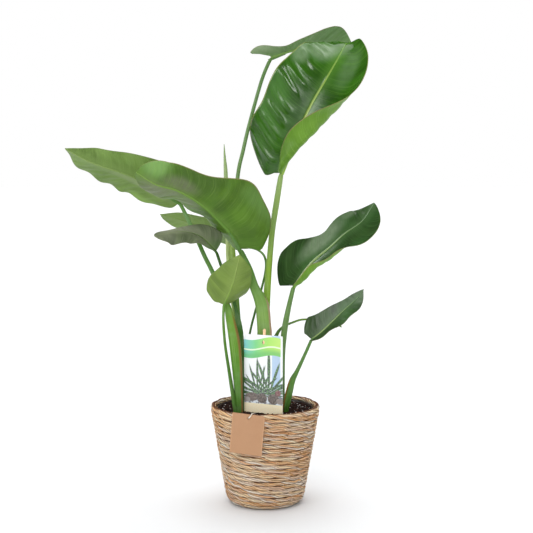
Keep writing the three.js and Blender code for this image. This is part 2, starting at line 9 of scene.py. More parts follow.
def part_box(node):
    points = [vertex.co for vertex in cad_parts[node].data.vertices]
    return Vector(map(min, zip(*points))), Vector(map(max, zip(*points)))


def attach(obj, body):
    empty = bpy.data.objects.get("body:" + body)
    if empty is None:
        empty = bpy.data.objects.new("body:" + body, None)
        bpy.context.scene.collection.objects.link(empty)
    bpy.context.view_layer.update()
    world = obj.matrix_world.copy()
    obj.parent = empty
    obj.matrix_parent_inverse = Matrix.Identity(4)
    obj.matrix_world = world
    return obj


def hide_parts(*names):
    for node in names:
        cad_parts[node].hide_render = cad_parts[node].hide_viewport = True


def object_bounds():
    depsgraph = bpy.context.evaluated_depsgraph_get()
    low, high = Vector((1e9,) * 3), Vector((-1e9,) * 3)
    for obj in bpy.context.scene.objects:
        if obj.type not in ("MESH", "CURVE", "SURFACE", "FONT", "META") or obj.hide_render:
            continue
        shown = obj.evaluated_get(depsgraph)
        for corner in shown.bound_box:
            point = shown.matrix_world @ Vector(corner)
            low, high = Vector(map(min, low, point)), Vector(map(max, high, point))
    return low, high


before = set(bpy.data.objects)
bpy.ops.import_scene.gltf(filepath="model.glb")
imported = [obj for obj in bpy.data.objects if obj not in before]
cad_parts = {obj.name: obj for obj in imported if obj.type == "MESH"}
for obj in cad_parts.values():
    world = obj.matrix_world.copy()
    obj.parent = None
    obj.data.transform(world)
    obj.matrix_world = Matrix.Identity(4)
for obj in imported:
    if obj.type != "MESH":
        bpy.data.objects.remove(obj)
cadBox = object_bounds()
mm = 0.001


def say(stage):
    print("scene:", stage)


# Camera

cameraSettings = {"place": (0.0023, -2.1, 0.605), "downDegrees": 4.88, "lens": 79.9, "sensor": 36}


def makeCamera(settings):
    lensData = bpy.data.cameras.new("plantCamera")
    lensData.lens = settings["lens"]
    lensData.sensor_width = settings["sensor"]
    camera = bpy.data.objects.new("plantCamera", lensData)
    camera.location = settings["place"]
    camera.rotation_euler = (math.radians(90 - settings["downDegrees"]), 0, 0)
    bpy.context.scene.collection.objects.link(camera)
    bpy.context.scene.camera = camera


makeCamera(cameraSettings)


# Colours are written as they look, and turned into linear light here

def paint(code):
    parts = [int(code[i:i + 2], 16) / 255 for i in (1, 3, 5)]
    return (*[p / 12.92 if p <= 0.04045 else ((p + 0.055) / 1.055) ** 2.4 for p in parts], 1.0)


# Small helpers for the material nodes

def newSkin(name, roughness, **constants):
    skin = bpy.data.materials.new(name)
    skin.use_nodes = True
    shader = skin.node_tree.nodes["Principled BSDF"]
    shader.inputs["Roughness"].default_value = roughness
    for socket, value in constants.items():
        shader.inputs[socket.replace("_", " ")].default_value = value
    return skin, skin.node_tree, shader


def feed(tree, socket, value):
    if isinstance(value, bpy.types.NodeSocket):
        tree.links.new(value, socket)
    else:
        socket.default_value = paint(value) if isinstance(value, str) else value


def calc(tree, operation, a, b=0.0):
    node = tree.nodes.new("ShaderNodeMath")
    node.operation = operation
    feed(tree, node.inputs[0], a)
    feed(tree, node.inputs[1], b)
    return node.outputs[0]


def times(tree, a, b):
    return calc(tree, "MULTIPLY", a, b)


def plus(tree, a, b):
    return calc(tree, "ADD", a, b)


def minus(tree, a, b):
    return calc(tree, "SUBTRACT", a, b)


def ratio(tree, a, b):
    return calc(tree, "DIVIDE", a, b)


def unsigned(tree, a):
    return calc(tree, "ABSOLUTE", a)


def rise(tree, value, low, high, start=0.0, end=1.0):
    node = tree.nodes.new("ShaderNodeMapRange")
    node.interpolation_type = "SMOOTHSTEP"
    feed(tree, node.inputs["Value"], value)
    node.inputs["From Min"].default_value = low
    node.inputs["From Max"].default_value = high
    node.inputs["To Min"].default_value = start
    node.inputs["To Max"].default_value = end
    return node.outputs["Result"]


def blend(tree, share, a, b):
    node = tree.nodes.new("ShaderNodeMix")
    node.data_type = "RGBA"
    feed(tree, node.inputs["Factor"], share)
    feed(tree, node.inputs["A"], a)
    feed(tree, node.inputs["B"], b)
    return node.outputs["Result"]


def tint(tree, colour, over, value, low, high, most=1.0):
    # Lays a second colour over the first where the value has gone from low to high
    return blend(tree, rise(tree, value, low, high, 0.0, most), colour, over)


def bands(tree, value, stops):
    node = tree.nodes.new("ShaderNodeValToRGB")
    feed(tree, node.inputs["Fac"], value)
    ramp = node.color_ramp
    while len(ramp.elements) < len(stops):
        ramp.elements.new(0.5)
    for element, (place, code) in zip(ramp.elements, stops):
        element.position = place
        element.color = paint(code)
    return node.outputs["Color"]


def speckle(tree, vector, scale, detail=2.0, rough=0.5):
    node = tree.nodes.new("ShaderNodeTexNoise")
    feed(tree, node.inputs["Vector"], vector)
    node.inputs["Scale"].default_value = scale
    node.inputs["Detail"].default_value = detail
    node.inputs["Roughness"].default_value = rough
    return node.outputs["Fac"]


def gather(tree, x, y, z=0.0):
    node = tree.nodes.new("ShaderNodeCombineXYZ")
    feed(tree, node.inputs["X"], x)
    feed(tree, node.inputs["Y"], y)
    feed(tree, node.inputs["Z"], z)
    return node.outputs["Vector"]


def streaks(tree, x, y, scales, detail, rough=0.5, z=0.0):
    # Noise that is drawn out along a piece, by its scales along x and y
    place = gather(tree, times(tree, x, scales[0]), times(tree, y, scales[1]), z)
    return speckle(tree, place, 1.0, detail, rough)


def clouds(tree, scale, detail=2.0, rough=0.5):
    return speckle(tree, tree.nodes.new("ShaderNodeTexCoord").outputs["Object"], scale, detail, rough)


def split(tree, vector):
    node = tree.nodes.new("ShaderNodeSeparateXYZ")
    tree.links.new(vector, node.inputs["Vector"])
    return node.outputs["X"], node.outputs["Y"], node.outputs["Z"]


def attributeParts(tree, name):
    node = tree.nodes.new("ShaderNodeAttribute")
    node.attribute_name = name
    return split(tree, node.outputs["Vector"])


def uvParts(tree, name):
    node = tree.nodes.new("ShaderNodeUVMap")
    node.uv_map = name
    return split(tree, node.outputs["UV"])[:2]


def dress(tree, shader, colour, rough=None):
    tree.links.new(colour, shader.inputs["Base Color"])
    if rough is not None:
        tree.links.new(rough, shader.inputs["Roughness"])


def bumpInto(tree, shader, height, distance, strength=1.0):
    node = tree.nodes.new("ShaderNodeBump")
    node.inputs["Strength"].default_value = strength
    node.inputs["Distance"].default_value = distance
    tree.links.new(height, node.inputs["Height"])
    tree.links.new(node.outputs["Normal"], shader.inputs["Normal"])


# Studio: a pale floor under a broad soft sun from above, a low strip of lamps that only glosses see,
# open surroundings that are brighter overhead, and a plain white backdrop

studio = {
    "floorSize": 60.0,
    "floorColour": "#e8e9eb",
    "overhead": 0.85,
    "horizon": 0.22,
    "backdrop": 1.0,
    "suns": {                               # "gloss" suns light only the glosses, the others all but them
        "skySun": {"from": (-0.05, 0.22, 1.0), "angle": 56, "strength": 1.6, "gloss": False},
        "frontSun": {"from": (-0.3, -1.0, 0.6), "angle": 60, "strength": 1.15, "gloss": False},
        "sheenSun": {"from": (-0.3, -0.2, 0.9), "angle": 110, "strength": 0.08, "gloss": True},
        "edgeSun": {"from": (0.33, -0.91, 0.25), "angle": 14, "strength": 0.8, "gloss": True},
        "glintSun": {"from": (0.15, 0.25, 0.95), "angle": 44, "strength": 1.1, "gloss": True},
    },
    "strip": {"turns": (-18, -78, 6), "up": 10, "angle": 20, "strength": 0.75},
}


def makeSurroundings(settings):
    world = bpy.data.worlds.new("studioWorld")
    world.use_nodes = True
    tree = world.node_tree
    lighting = tree.nodes["Background"]
    backdrop = tree.nodes.new("ShaderNodeBackground")
    backdrop.inputs["Color"].default_value = (1, 1, 1, 1)
    backdrop.inputs["Strength"].default_value = settings["backdrop"]
    up = split(tree, tree.nodes.new("ShaderNodeTexCoord").outputs["Generated"])[2]
    lighting.inputs["Color"].default_value = (1, 1, 1, 1)
    strength = rise(tree, up, -0.1, 0.9, settings["horizon"], settings["overhead"])
    tree.links.new(strength, lighting.inputs["Strength"])
    mixer = tree.nodes.new("ShaderNodeMixShader")
    tree.links.new(tree.nodes.new("ShaderNodeLightPath").outputs["Is Camera Ray"], mixer.inputs["Fac"])
    tree.links.new(lighting.outputs["Background"], mixer.inputs[1])
    tree.links.new(backdrop.outputs["Background"], mixer.inputs[2])
    tree.links.new(mixer.outputs["Shader"], tree.nodes["World Output"].inputs["Surface"])
    world.cycles_visibility.glossy = False
    bpy.context.scene.world = world


def makeStudio(settings):
    scene = bpy.context.scene
    scene.view_settings.view_transform = "Standard"
    makeSurroundings(settings)
    suns = dict(settings["suns"])
    strip = settings["strip"]
    last, first, lamps = strip["turns"]
    for number in range(lamps):
        turn = first + (last - first) * number / (lamps - 1)
        aside, up = math.radians(turn), math.radians(strip["up"])
        toLamp = (math.sin(aside) * math.cos(up), -math.cos(aside) * math.cos(up), math.sin(up))
        suns["stripSun" + str(number)] = {**strip, "from": toLamp, "gloss": True}
    for name, sun in suns.items():
        light = bpy.data.lights.new(name, "SUN")
        light.energy = sun["strength"]
        light.angle = math.radians(sun["angle"])
        holder = bpy.data.objects.new(name, light)
        holder.rotation_euler = Vector(sun["from"]).to_track_quat("Z", "Y").to_euler()
        holder.visible_diffuse = not sun["gloss"]
        holder.visible_glossy = sun["gloss"]
        scene.collection.objects.link(holder)
    bm = bmesh.new()
    bmesh.ops.create_grid(bm, x_segments=1, y_segments=1, size=settings["floorSize"] / 2)
    mesh = bpy.data.meshes.new("studioFloor")
    bm.to_mesh(mesh)
    bm.free()
    floor = bpy.data.objects.new("studioFloor", mesh)
    scene.collection.objects.link(floor)
    skin, tree, shader = newSkin("floorPaint", 0.95, Specular_IOR_Level=0.0)
    shader.inputs["Base Color"].default_value = paint(settings["floorColour"])
    mesh.materials.append(skin)


makeStudio(studio)
say("studio")


# Mesh helpers

def finishPiece(name, bm, skins, stands=(), smooth=True):
    mesh = bpy.data.meshes.new(name)
    bm.to_mesh(mesh)
    bm.free()
    for skin in skins:
        mesh.materials.append(skin)
    mesh.polygons.foreach_set("use_smooth", [smooth] * len(mesh.polygons))
    piece = bpy.data.objects.new(name, mesh)
    bpy.context.scene.collection.objects.link(piece)
    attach(piece, "root")
    if stands:
        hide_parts(*stands)
    return piece


def wrapGrid(bm, around, along, place, mapName, mapOf=lambda x, v: (x, v), capped=True):
    # A flat grid rolled into a tube or a ring. place and mapOf take the shares round and along.
    sheet = bmesh.ops.create_grid(bm, x_segments=around, y_segments=along, size=0.5)["verts"]
    layer = bm.loops.layers.uv.get(mapName) or bm.loops.layers.uv.new(mapName)
    for face in {f for v in sheet for f in v.link_faces}:
        for loop in face.loops:
            loop[layer].uv = mapOf(loop.vert.co.x + 0.5, loop.vert.co.y + 0.5)
    for vert in sheet:
        vert.co = place(vert.co.x + 0.5, vert.co.y + 0.5)
    edges = {e for v in sheet for e in v.link_edges}
    seam = [v for v in sheet if any(e.is_boundary for e in v.link_edges)]
    bmesh.ops.remove_doubles(bm, verts=seam, dist=1e-6)
    if capped:
        rims = [e for e in edges if e.is_valid and e.is_boundary]
        bmesh.ops.holes_fill(bm, edges=rims, sides=0)


def smooth(x):
    c = min(max(x, 0.0), 1.0)
    return c * c * (3 - 2 * c)


def polar(radius, angle, height):
    return Vector((radius * math.cos(angle), radius * math.sin(angle), height))


def spline(keys, s):
    # Smooth interpolation through evenly spaced keys, numbers or vectors, s from 0 to 1
    n = len(keys)
    x = min(max(s, 0.0), 1.0) * (n - 1)
    i = min(int(x), n - 2)
    f = x - i
    q, r = keys[i], keys[i + 1]
    p = keys[i - 1] if i > 0 else 2 * keys[0] - keys[1]
    t = keys[i + 2] if i + 2 < n else 2 * keys[n - 1] - keys[n - 2]
    bend = 2 * p - 5 * q + 4 * r - t
    return 0.5 * (2 * q + (r - p) * f + bend * f ** 2 + (3 * q - p - 3 * r + t) * f ** 3)


def evenShares(keys, steps=160):
    # The spline's parameter at an even share of its length
    points = [spline(keys, i / steps) for i in range(steps + 1)]
    lengths = [0.0]
    for a, b in zip(points, points[1:]):
        lengths.append(lengths[-1] + (b - a).length)

    def at(share):
        target = share * lengths[-1]
        i = 0
        while i < steps - 1 and lengths[i + 1] < target:
            i += 1
        return (i + (target - lengths[i]) / (lengths[i + 1] - lengths[i])) / steps

    return at, lengths[-1]


def heading(keys, u):
    return (spline(keys, min(u + 0.002, 1.0)) - spline(keys, max(u - 0.002, 0.0))).normalized()


# Leaf skins. "leafPlace" holds the signed distance from the midrib, the place along the lateral
# veins' row, both in metres, and the share from foot to tip. "leafEdge" holds the share out to the
# margin and the midrib's half-width in metres. "leafWear" holds how much of the grey wash, of the
# light green and of deep green lies there. The grey wash is painted light on most blades: painted
# sheen, a painted reflection and a painted shadow. The light green is partly the leaf's fresh tint and
# partly painted light: sunlit patches and a painted highlight.

def leafSkin(name, tones, gloss, seed, under=False):
    skin, tree, shader = newSkin(name, 0.4, Specular_IOR_Level=gloss["specular"])
    out, vein, along = attributeParts(tree, "leafPlace")
    edge, ribHalf = attributeParts(tree, "leafEdge")[:2]
    greyWash, freshAndHighlight, deep = attributeParts(tree, "leafWear")
    reach = unsigned(tree, out)
    broad = streaks(tree, vein, out, (55.0, 9.0), 3.0, z=seed)
    fine = streaks(tree, vein, out, (620.0, 14.0), 2.0, z=seed)
    cloud = clouds(tree, 13.0, 3.0)
    cells = clouds(tree, 900.0, 2.0)
    colour = tint(tree, tones["deep"], tones["body"], broad, 0.33, 0.68)
    colour = tint(tree, colour, tones["light"], cloud, 0.4, 0.75, 0.6)
    colour = blend(tree, deep, colour, tones["deep"])
    # Light green patches: partly the leaf's fresh tint, partly painted light: sunlit patches and a painted
    # highlight
    colour = blend(tree, freshAndHighlight, colour, tones["freshAndHighlight"])
    # Grey wash patches, mottled: painted sheen, painted reflection and painted shadow on most blades
    mottle = clouds(tree, 120.0, 4.0)
    washShare = times(tree, greyWash, rise(tree, mottle, 0.25, 0.75, 0.75, 1.0))
    colour = blend(tree, washShare, colour, tones["greyWash"])
    colour = tint(tree, colour, tones["vein"], fine, 0.5, 0.74, 0.34)
    colour = tint(tree, colour, tones["deep"], fine, 0.42, 0.2, 0.22)
    colour = tint(tree, colour, tones["vein"], reach, 0.016, 0.001, 0.28)
    colour = tint(tree, colour, tones["foot"], along, 0.14, 0.0, 0.35)
    ribShare = ratio(tree, reach, ribHalf)
    ribMask = rise(tree, ribShare, 1.05, 0.72)
    ribTone = blend(tree, rise(tree, along, 0.2, 0.95), tones["rib"], tones["vein"])
    colour = blend(tree, ribMask, colour, ribTone)
    margin = rise(tree, edge, 0.972, 0.995)
    colour = blend(tree, times(tree, margin, 0.85), colour, tones["margin"])
    rough = plus(tree, rise(tree, broad, 0.2, 0.8, gloss["rough"] - 0.05, gloss["rough"] + 0.07),
                 times(tree, ribMask, 0.1))
    dress(tree, shader, colour, rough)
    height = plus(tree, times(tree, fine, 0.7), times(tree, cells, 0.3))
    height = times(tree, height, minus(tree, 1.0, ribMask))
    bumpInto(tree, shader, height, 0.0006 if under else 0.00035, 0.7 if under else 0.45)
    return skin


# Blades, in millimetres and degrees. The midrib runs through "rib" and the upper side looks along
# "face". A half has its widths "w", its fold at the midrib and its curl out to the margin, all from foot
# to tip. "lobe" is how far its foot reaches back, "wave" the ripple's depth, number and start, "roll"
# the shares out between which it curls, "tip" how bluntly it closes. "keel" is the midrib's half-width
# and depth, "grid" the rows and a half's columns, "pleat" the pleats' depth and spacing. "greyWash",
# "freshAndHighlight" and "deep" are patches: share along, distance out, a half-length for each, and
# strength. The grey wash and light green patches are largely painted light, noted at each blade.

upperGloss = {"rough": 0.19, "specular": 0.31}
softGloss = {"rough": 0.42, "specular": 0.24}
dullGloss = {"rough": 0.5, "specular": 0.11}
underGloss = {"rough": 0.46, "specular": 0.2}

blades = {
    "blade_top_front": {
        "rib": [(28, -15, 590), (50, -32, 644), (77, -43, 705), (104, -42, 752), (125, -26, 788),
                (142, 6, 818), (150, 44, 822)],
        "face": [(-0.1, -1, 0.3), (-0.1, -1, 0.2), (-0.1, -0.9, 0.4), (0, 0, 1)],
        "left": {"w": [84, 92, 82, 83, 72, 61, 50], "fold": [-25, 8, 5], "curl": [-10, 0, -10], "lobe": 26,
                 "wave": (3, 4, 0.3)},
        "right": {"w": [46, 60, 88, 95, 71, 46, 28], "fold": [80, 20, -5, 15], "curl": [205, 135, 50, 15],
                  "lobe": 10, "roll": (0.2, 0.8)},
        "keel": (3.4, 4.2), "grid": (190, 30), "upper": "dark", "under": "bright", "pleat": (2.1, 22),
        "rightPleat": 0.3, "veinSlope": 0.16, "seed": 3,
        # Painted sheen: the grey wash paints the pale gloss band along the upper margin near the tip, and a
        # greyish sheen on the right half
        "greyWash": [(0.75, -32, 0.08, 26, 0.75), (0.66, -60, 0.07, 16, 0.6), (0.7, 27, 0.12, 16, 0.25)],
        "freshAndHighlight": [(0.34, -62, 0.2, 22, 0.35)],
        "deep": [(0.55, 84, 0.24, 16, 0.5), (0.47, -20, 0.14, 18, 0.7)],
    },
    "blade_top_back": {
        "rib": [(10, 22, 795), (55, 45, 813), (93, 68, 822), (128, 92, 824), (164, 112, 822)],
        "face": [(-0.1, 0.35, 0.93), (-0.1, 0.35, 0.93), (0, 0.45, 0.9)],
        "left": {"w": [34, 44, 44, 38, 28], "fold": [10, 10], "curl": [10, 10], "lobe": 2},
        "right": {"w": [50, 16, 23, 34, 42, 34, 22], "fold": [62, 30, 22, 26, 28, 14], "curl": [0, 0],
                  "lobe": 47},
        "keel": (2.8, 3.4), "grid": (100, 22), "upper": "dark", "under": "grey", "pleat": (0.7, 22),
        "seed": 11,
        # Painted sheen: the grey wash paints a pale grey-green gloss on the lobe that reaches back at the
        # foot
        "greyWash": [(0.0, 40, 0.22, 34, 1.0)],
        "deep": [(0.5, -40, 0.4, 14, 0.8)],
    },
    "blade_left_long": {
        "rib": [(-154, 30, 538), (-190, 10, 560), (-234, -15, 586), (-302, -42, 611), (-343, -62, 634)],
        "face": [(0.1, 0.75, 0.65), (0, 0.75, 0.65), (0, 0.75, 0.65)],
        "left": {"w": [52, 50, 38, 28, 20], "fold": [35, 30], "curl": [0, 0], "lobe": 10,
                 "wave": (2, 4, 0.1)},
        "right": {"w": [24, 46, 56, 50, 40], "fold": [0, 35], "curl": [0, 0], "lobe": 10,
                  "wave": (3, 5, 0.6)},
        "keel": (3, 3.6), "grid": (110, 22), "upper": "pale", "under": "long", "pleat": (0.6, 20),
        "seed": 19,
        # Painted shadow: the grey wash paints a greyish shadow band beside the midrib
        "greyWash": [(0.35, 9, 0.28, 9, 0.5)],
        "freshAndHighlight": [(0.2, 44, 0.16, 12, 0.7), (0.6, -30, 0.4, 16, 0.35)],
    },
    "blade_left_broad": {
        "rib": [(-44, -50, 459), (-62, -62, 492), (-104, -78, 535), (-146, -95, 562), (-184, -110, 574),
                (-216, -116, 594)],
        "face": [(0.1, 0.9, 0.4), (0.1, 0.9, 0.4), (0.1, 0.8, 0.5)],
        "left": {"w": [64, 80, 100, 68, 60, 70], "fold": [35, -25, -5], "curl": [10, 10], "lobe": 35,
                 "tip": 0.5},
        "right": {"w": [52, 56, 60, 50, 40], "fold": [50, 40, 20], "curl": [10, 10], "lobe": 10, "tip": 0.5,
                  "wave": (3, 4, 0)},
        "keel": (3.6, 4.4), "grid": (130, 26), "upper": "dark", "under": "green", "pleat": (0.9, 21),
        "veinSlope": 0.02, "seed": 27,
        # Painted reflection: the grey wash paints the grey sheen across the middle of the underside
        "greyWash": [(0.78, 20, 0.2, 30, 0.75), (0.68, -18, 0.14, 20, 0.7), (0.54, 26, 0.12, 22, 0.5)],
        # Painted highlight: the light green patch at the tip paints its pale gloss
        "freshAndHighlight": [(0.92, -42, 0.12, 34, 0.6), (0.2, -84, 0.16, 26, 0.3)],
        "deep": [(0.6, -52, 0.16, 44, 0.9), (0.36, -60, 0.08, 40, 0.35)],
    },
    "blade_left_behind": {
        "rib": [(-28, 60, 456), (-84, 68, 482), (-130, 62, 498), (-169, 52, 511), (-190, 40, 517)],
        "face": [(0, 0.5, 0.9), (0, 0.5, 0.9)],
        "left": {"w": [28, 30, 30, 24, 20], "fold": [15, 5], "curl": [0, 0]},
        "right": {"w": [20, 34, 40, 34, 26], "fold": [0, 0], "curl": [0, 0]},
        "keel": (2, 2.2), "grid": (80, 16), "upper": "pale", "under": "long", "pleat": (0.5, 18),
        "seed": 35,
    },
    "blade_left_drooping": {
        "rib": [(-86, -34, 456), (-113, -45, 482), (-142, -60, 491), (-173, -80, 488), (-188, -98, 486)],
        "face": [(0, -0.5, 0.85), (0, -0.5, 0.85)],
        "left": {"w": [4, 15, 27, 27, 34], "fold": [7, 2], "curl": [-50, -40], "tip": 0.6,
                 "wave": (3, 3, 0.5)},
        "right": {"w": [34, 28, 13, 9, 20], "fold": [34, -12], "curl": [20, 10]},
        "keel": (2.2, 2.4), "grid": (80, 16), "upper": "dusk", "under": "grey", "gloss": dullGloss,
        "pleat": (0.5, 16), "seed": 43,
        "greyWash": [(0.6, 8, 0.3, 14, 0.6), (0.85, -10, 0.16, 16, 0.35)],
        "freshAndHighlight": [(0.02, -4, 0.16, 22, 0.9)],
    },
    "blade_front_round": {
        "rib": [(-72, -52, 363), (-66, -62, 376), (-57, -76, 398), (-50, -88, 424), (-43, -94, 454)],
        "face": [(-0.1, 0.9, 0.3), (0, 0.9, 0.4)],
        "left": {"w": [52, 45, 36, 28, 18], "fold": [40, 2], "curl": [15, 10], "lobe": 8},
        "right": {"w": [32, 42, 41, 27, 18], "fold": [13, 2], "curl": [15, 10], "lobe": 8},
        "keel": (2, 2.2), "grid": (80, 18), "upper": "pale", "under": "olive", "pleat": (0.4, 20),
        "seed": 51,
    },
    "blade_right_upper": {
        "rib": [(50, -18, 391), (80, -34, 434), (113, -48, 464), (137, -56, 487), (168, -60, 510),
                (188, -60, 541)],
        "face": [(-0.3, -0.8, 0.6), (-0.3, -0.8, 0.6)],
        "left": {"w": [86, 79, 76, 69, 50, 38, 35, 37, 37, 34, 31, 24, 14], "fold": [-12, 6],
                 "curl": [0, 0], "lobe": 28, "tip": 0.7, "wave": (2, 3, 0.08)},
        "right": {"w": [18, 36, 42, 49, 52, 33], "fold": [5, -10, 0, 0], "curl": [127, 108, 50, 0],
                  "lobe": 10, "tip": 0.6, "wave": (3, 3.4, 0.35), "roll": (0.1, 0.9)},
        "keel": (3, 3.6), "grid": (110, 24), "upper": "blue", "under": "bright", "pleat": (0.35, 18),
        "veinSlope": 0.2, "seed": 59,
        # Painted sheen: the grey wash paints a grey sheen along the upper margin
        "greyWash": [(0.45, -26, 0.24, 20, 0.95), (0.78, -30, 0.16, 9, 0.5)],
    },
    "blade_right_lower": {
        "rib": [(81, -44, 300), (102, -58, 320), (133, -70, 353), (157, -76, 376), (169, -78, 393)],
        "face": [(-0.4, -0.8, 0.5), (-0.4, -0.8, 0.5)],
        "left": {"w": [48, 34, 24, 14, 16], "fold": [3, 13], "curl": [0, 0], "lobe": 12},
        "right": {"w": [12, 17, 21, 19, 13], "fold": [35, -15], "curl": [20, 10, 0], "lobe": 3,
                  "wave": (2, 3, 0.2)},
        "keel": (2.2, 2.6), "grid": (90, 18), "upper": "blue", "under": "bright", "gloss": softGloss,
        "pleat": (0.3, 14), "seed": 67,
    },
    "blade_right_behind": {
        "rib": [(79, 16, 329), (95, 24, 328), (112, 34, 324), (126, 44, 318), (140, 54, 309)],
        "face": [(0, 0.1, 1), (0, 0.1, 1)],
        "left": {"w": [18, 18, 16, 12, 10], "fold": [10, 10], "curl": [0, 0]},
        "right": {"w": [18, 18, 16, 12, 10], "fold": [10, 10], "curl": [0, 0]},
        "keel": (1.6, 1.8), "grid": (70, 14), "upper": "dark", "under": "green", "pleat": (0.4, 14),
        "seed": 75,
    },
}

# The last two tones colour the patches, largely painted light: light green for sunlit patches and
# highlights, grey for sheen, reflection and shadow
toneNames = ("deep", "body", "light", "vein", "foot", "rib", "margin", "freshAndHighlight", "greyWash")


def toneSet(codes):
    return dict(zip(toneNames, codes.split()))


upperTones = {
    "dark": toneSet("#264f0a #336612 #447a1c #64913a #38661b #a3bb4c #8d9650 #4f8a2c #87a07c"),
    "blue": toneSet("#273b1c #345026 #3a682f #577a48 #27431f #8ba460 #5f7a44 #5b9a4c #7c8f72"),
    "dusk": toneSet("#4f5b41 #6a7755 #889173 #9ea485 #3f6128 #6d854c #857f60 #55743f #b1b39e"),
    "pale": toneSet("#52782c #618a33 #739c42 #8db05a #6a9538 #a2bc62 #8d8a52 #7fb04a #9aae86"),
}
underTones = {
    "green": toneSet("#416119 #4f7620 #658e29 #7a9c45 #578227 #5f8630 #8f8752 #8cb868 #75795f"),
    "bright": toneSet("#5a8526 #69952d #78a338 #95b75a #6c9f2b #9dbf52 #8a7950 #8cbd4c #9cb07e"),
    "grey": toneSet("#4d6f37 #60854a #7a9c62 #8aa575 #547c3a #7a9e52 #858058 #6c8f4a #9fb08f"),
    "olive": toneSet("#607931 #718b3b #839c49 #91a758 #698135 #819e46 #768d39 #86a552 #a3b083"),
    "long": toneSet("#5f7b37 #6c8a40 #7c994c #86a158 #768f4a #748f48 #808f50 #86a955 #8f9a78"),
}


# The blade's make: thickness inside and at the margin, the rib's groove above, and the veins' course
lamina = {"thick": 0.8, "marginThick": 0.55, "ribGroove": 0.7, "veinSlope": 0.36, "veinSweep": 0.25,
          "keelColumns": 3, "curlSteps": 24}


def halfWidth(half, s):
    foot = min(s / 0.15, 1.0)
    tip = min((1 - s) / 0.25, 1.0)
    shape = math.sqrt(1 - (1 - foot) ** 2) * max(math.sin(tip * math.pi / 2), 0.0) ** half.get("tip", 0.9)
    return max(spline(half["w"], s) * shape, 0.5)


def bladeFrame(blade, s):
    # Origin, tangent, upward direction and right-hand side of a blade at a share of its length
    u = blade["at"](s)
    tangent = heading(blade["rib"], u)
    up = spline(blade["face"], s)
    up = (up - tangent * up.dot(tangent)).normalized()
    return spline(blade["rib"], u), tangent, up, tangent.cross(up)


def halfPoint(here, half, sign, s, reach, width):
    origin, tangent, up, side = here
    low, high = half.get("roll", (0.0, 1.0))
    fold = math.radians(spline(half["fold"], s))
    curl = math.radians(spline(half["curl"], s))
    share = reach / max(width, reach)
    steps = lamina["curlSteps"]
    out = lift = 0.0
    for i in range(steps):
        angle = fold + curl * smooth(((i + 0.5) / steps * share - low) / (high - low))
        out += math.cos(angle) * reach / steps
        lift += math.sin(angle) * reach / steps
    angle = fold + curl * smooth((share - low) / (high - low))
    depth, count, phase = half.get("wave", (0, 1, 0))
    swell = math.sqrt(max(4 * s * (1 - s), 0.0)) * share * share
    ripple = depth * swell * math.sin(2 * math.pi * (count * s + phase))
    back = half.get("lobe", 0) * (1 - s) ** 8 * smooth((reach - 5) / (0.35 * max(half["w"])))
    normal = up * math.cos(angle) - side * (sign * math.sin(angle))
    point = origin + side * (sign * out) + up * lift - tangent * back + normal * ripple
    return point, normal


def pleatHeight(vein, share, s, depth, spacing, seed):
    wander = 0.35 * noise.noise(Vector((vein / 40, 2 * share, seed)))
    turn = 2 * math.pi * (vein / spacing + wander + 0.13 * seed)
    wave = 2 * (0.5 + 0.5 * math.cos(turn)) ** 1.9 - 0.7
    strength = 0.9 + 0.5 * noise.noise(Vector((vein / 60, 1.5 * share, seed + 7)))
    inward = smooth((share - 0.2) / 0.35) * (0.05 + 0.95 * smooth((1 - share) / 0.25))
    calm = inward * smooth(s / 0.1) * smooth((1 - s) / 0.15)
    return depth * wave * strength * calm


def patchShare(patches, s, out):
    # Soft ovals on the blade, of which the strongest counts
    total = 0.0
    for along, away, alongHalf, awayHalf, strength in patches:
        far = math.hypot((s - along) / alongHalf, (out - away) / awayHalf)
        total = max(total, strength * smooth(1.4 - far))
    return total


def camelOf(node):
    return "".join(word.capitalize() for word in node.split("_")[1:])


patchNames = ("greyWash", "freshAndHighlight", "deep")


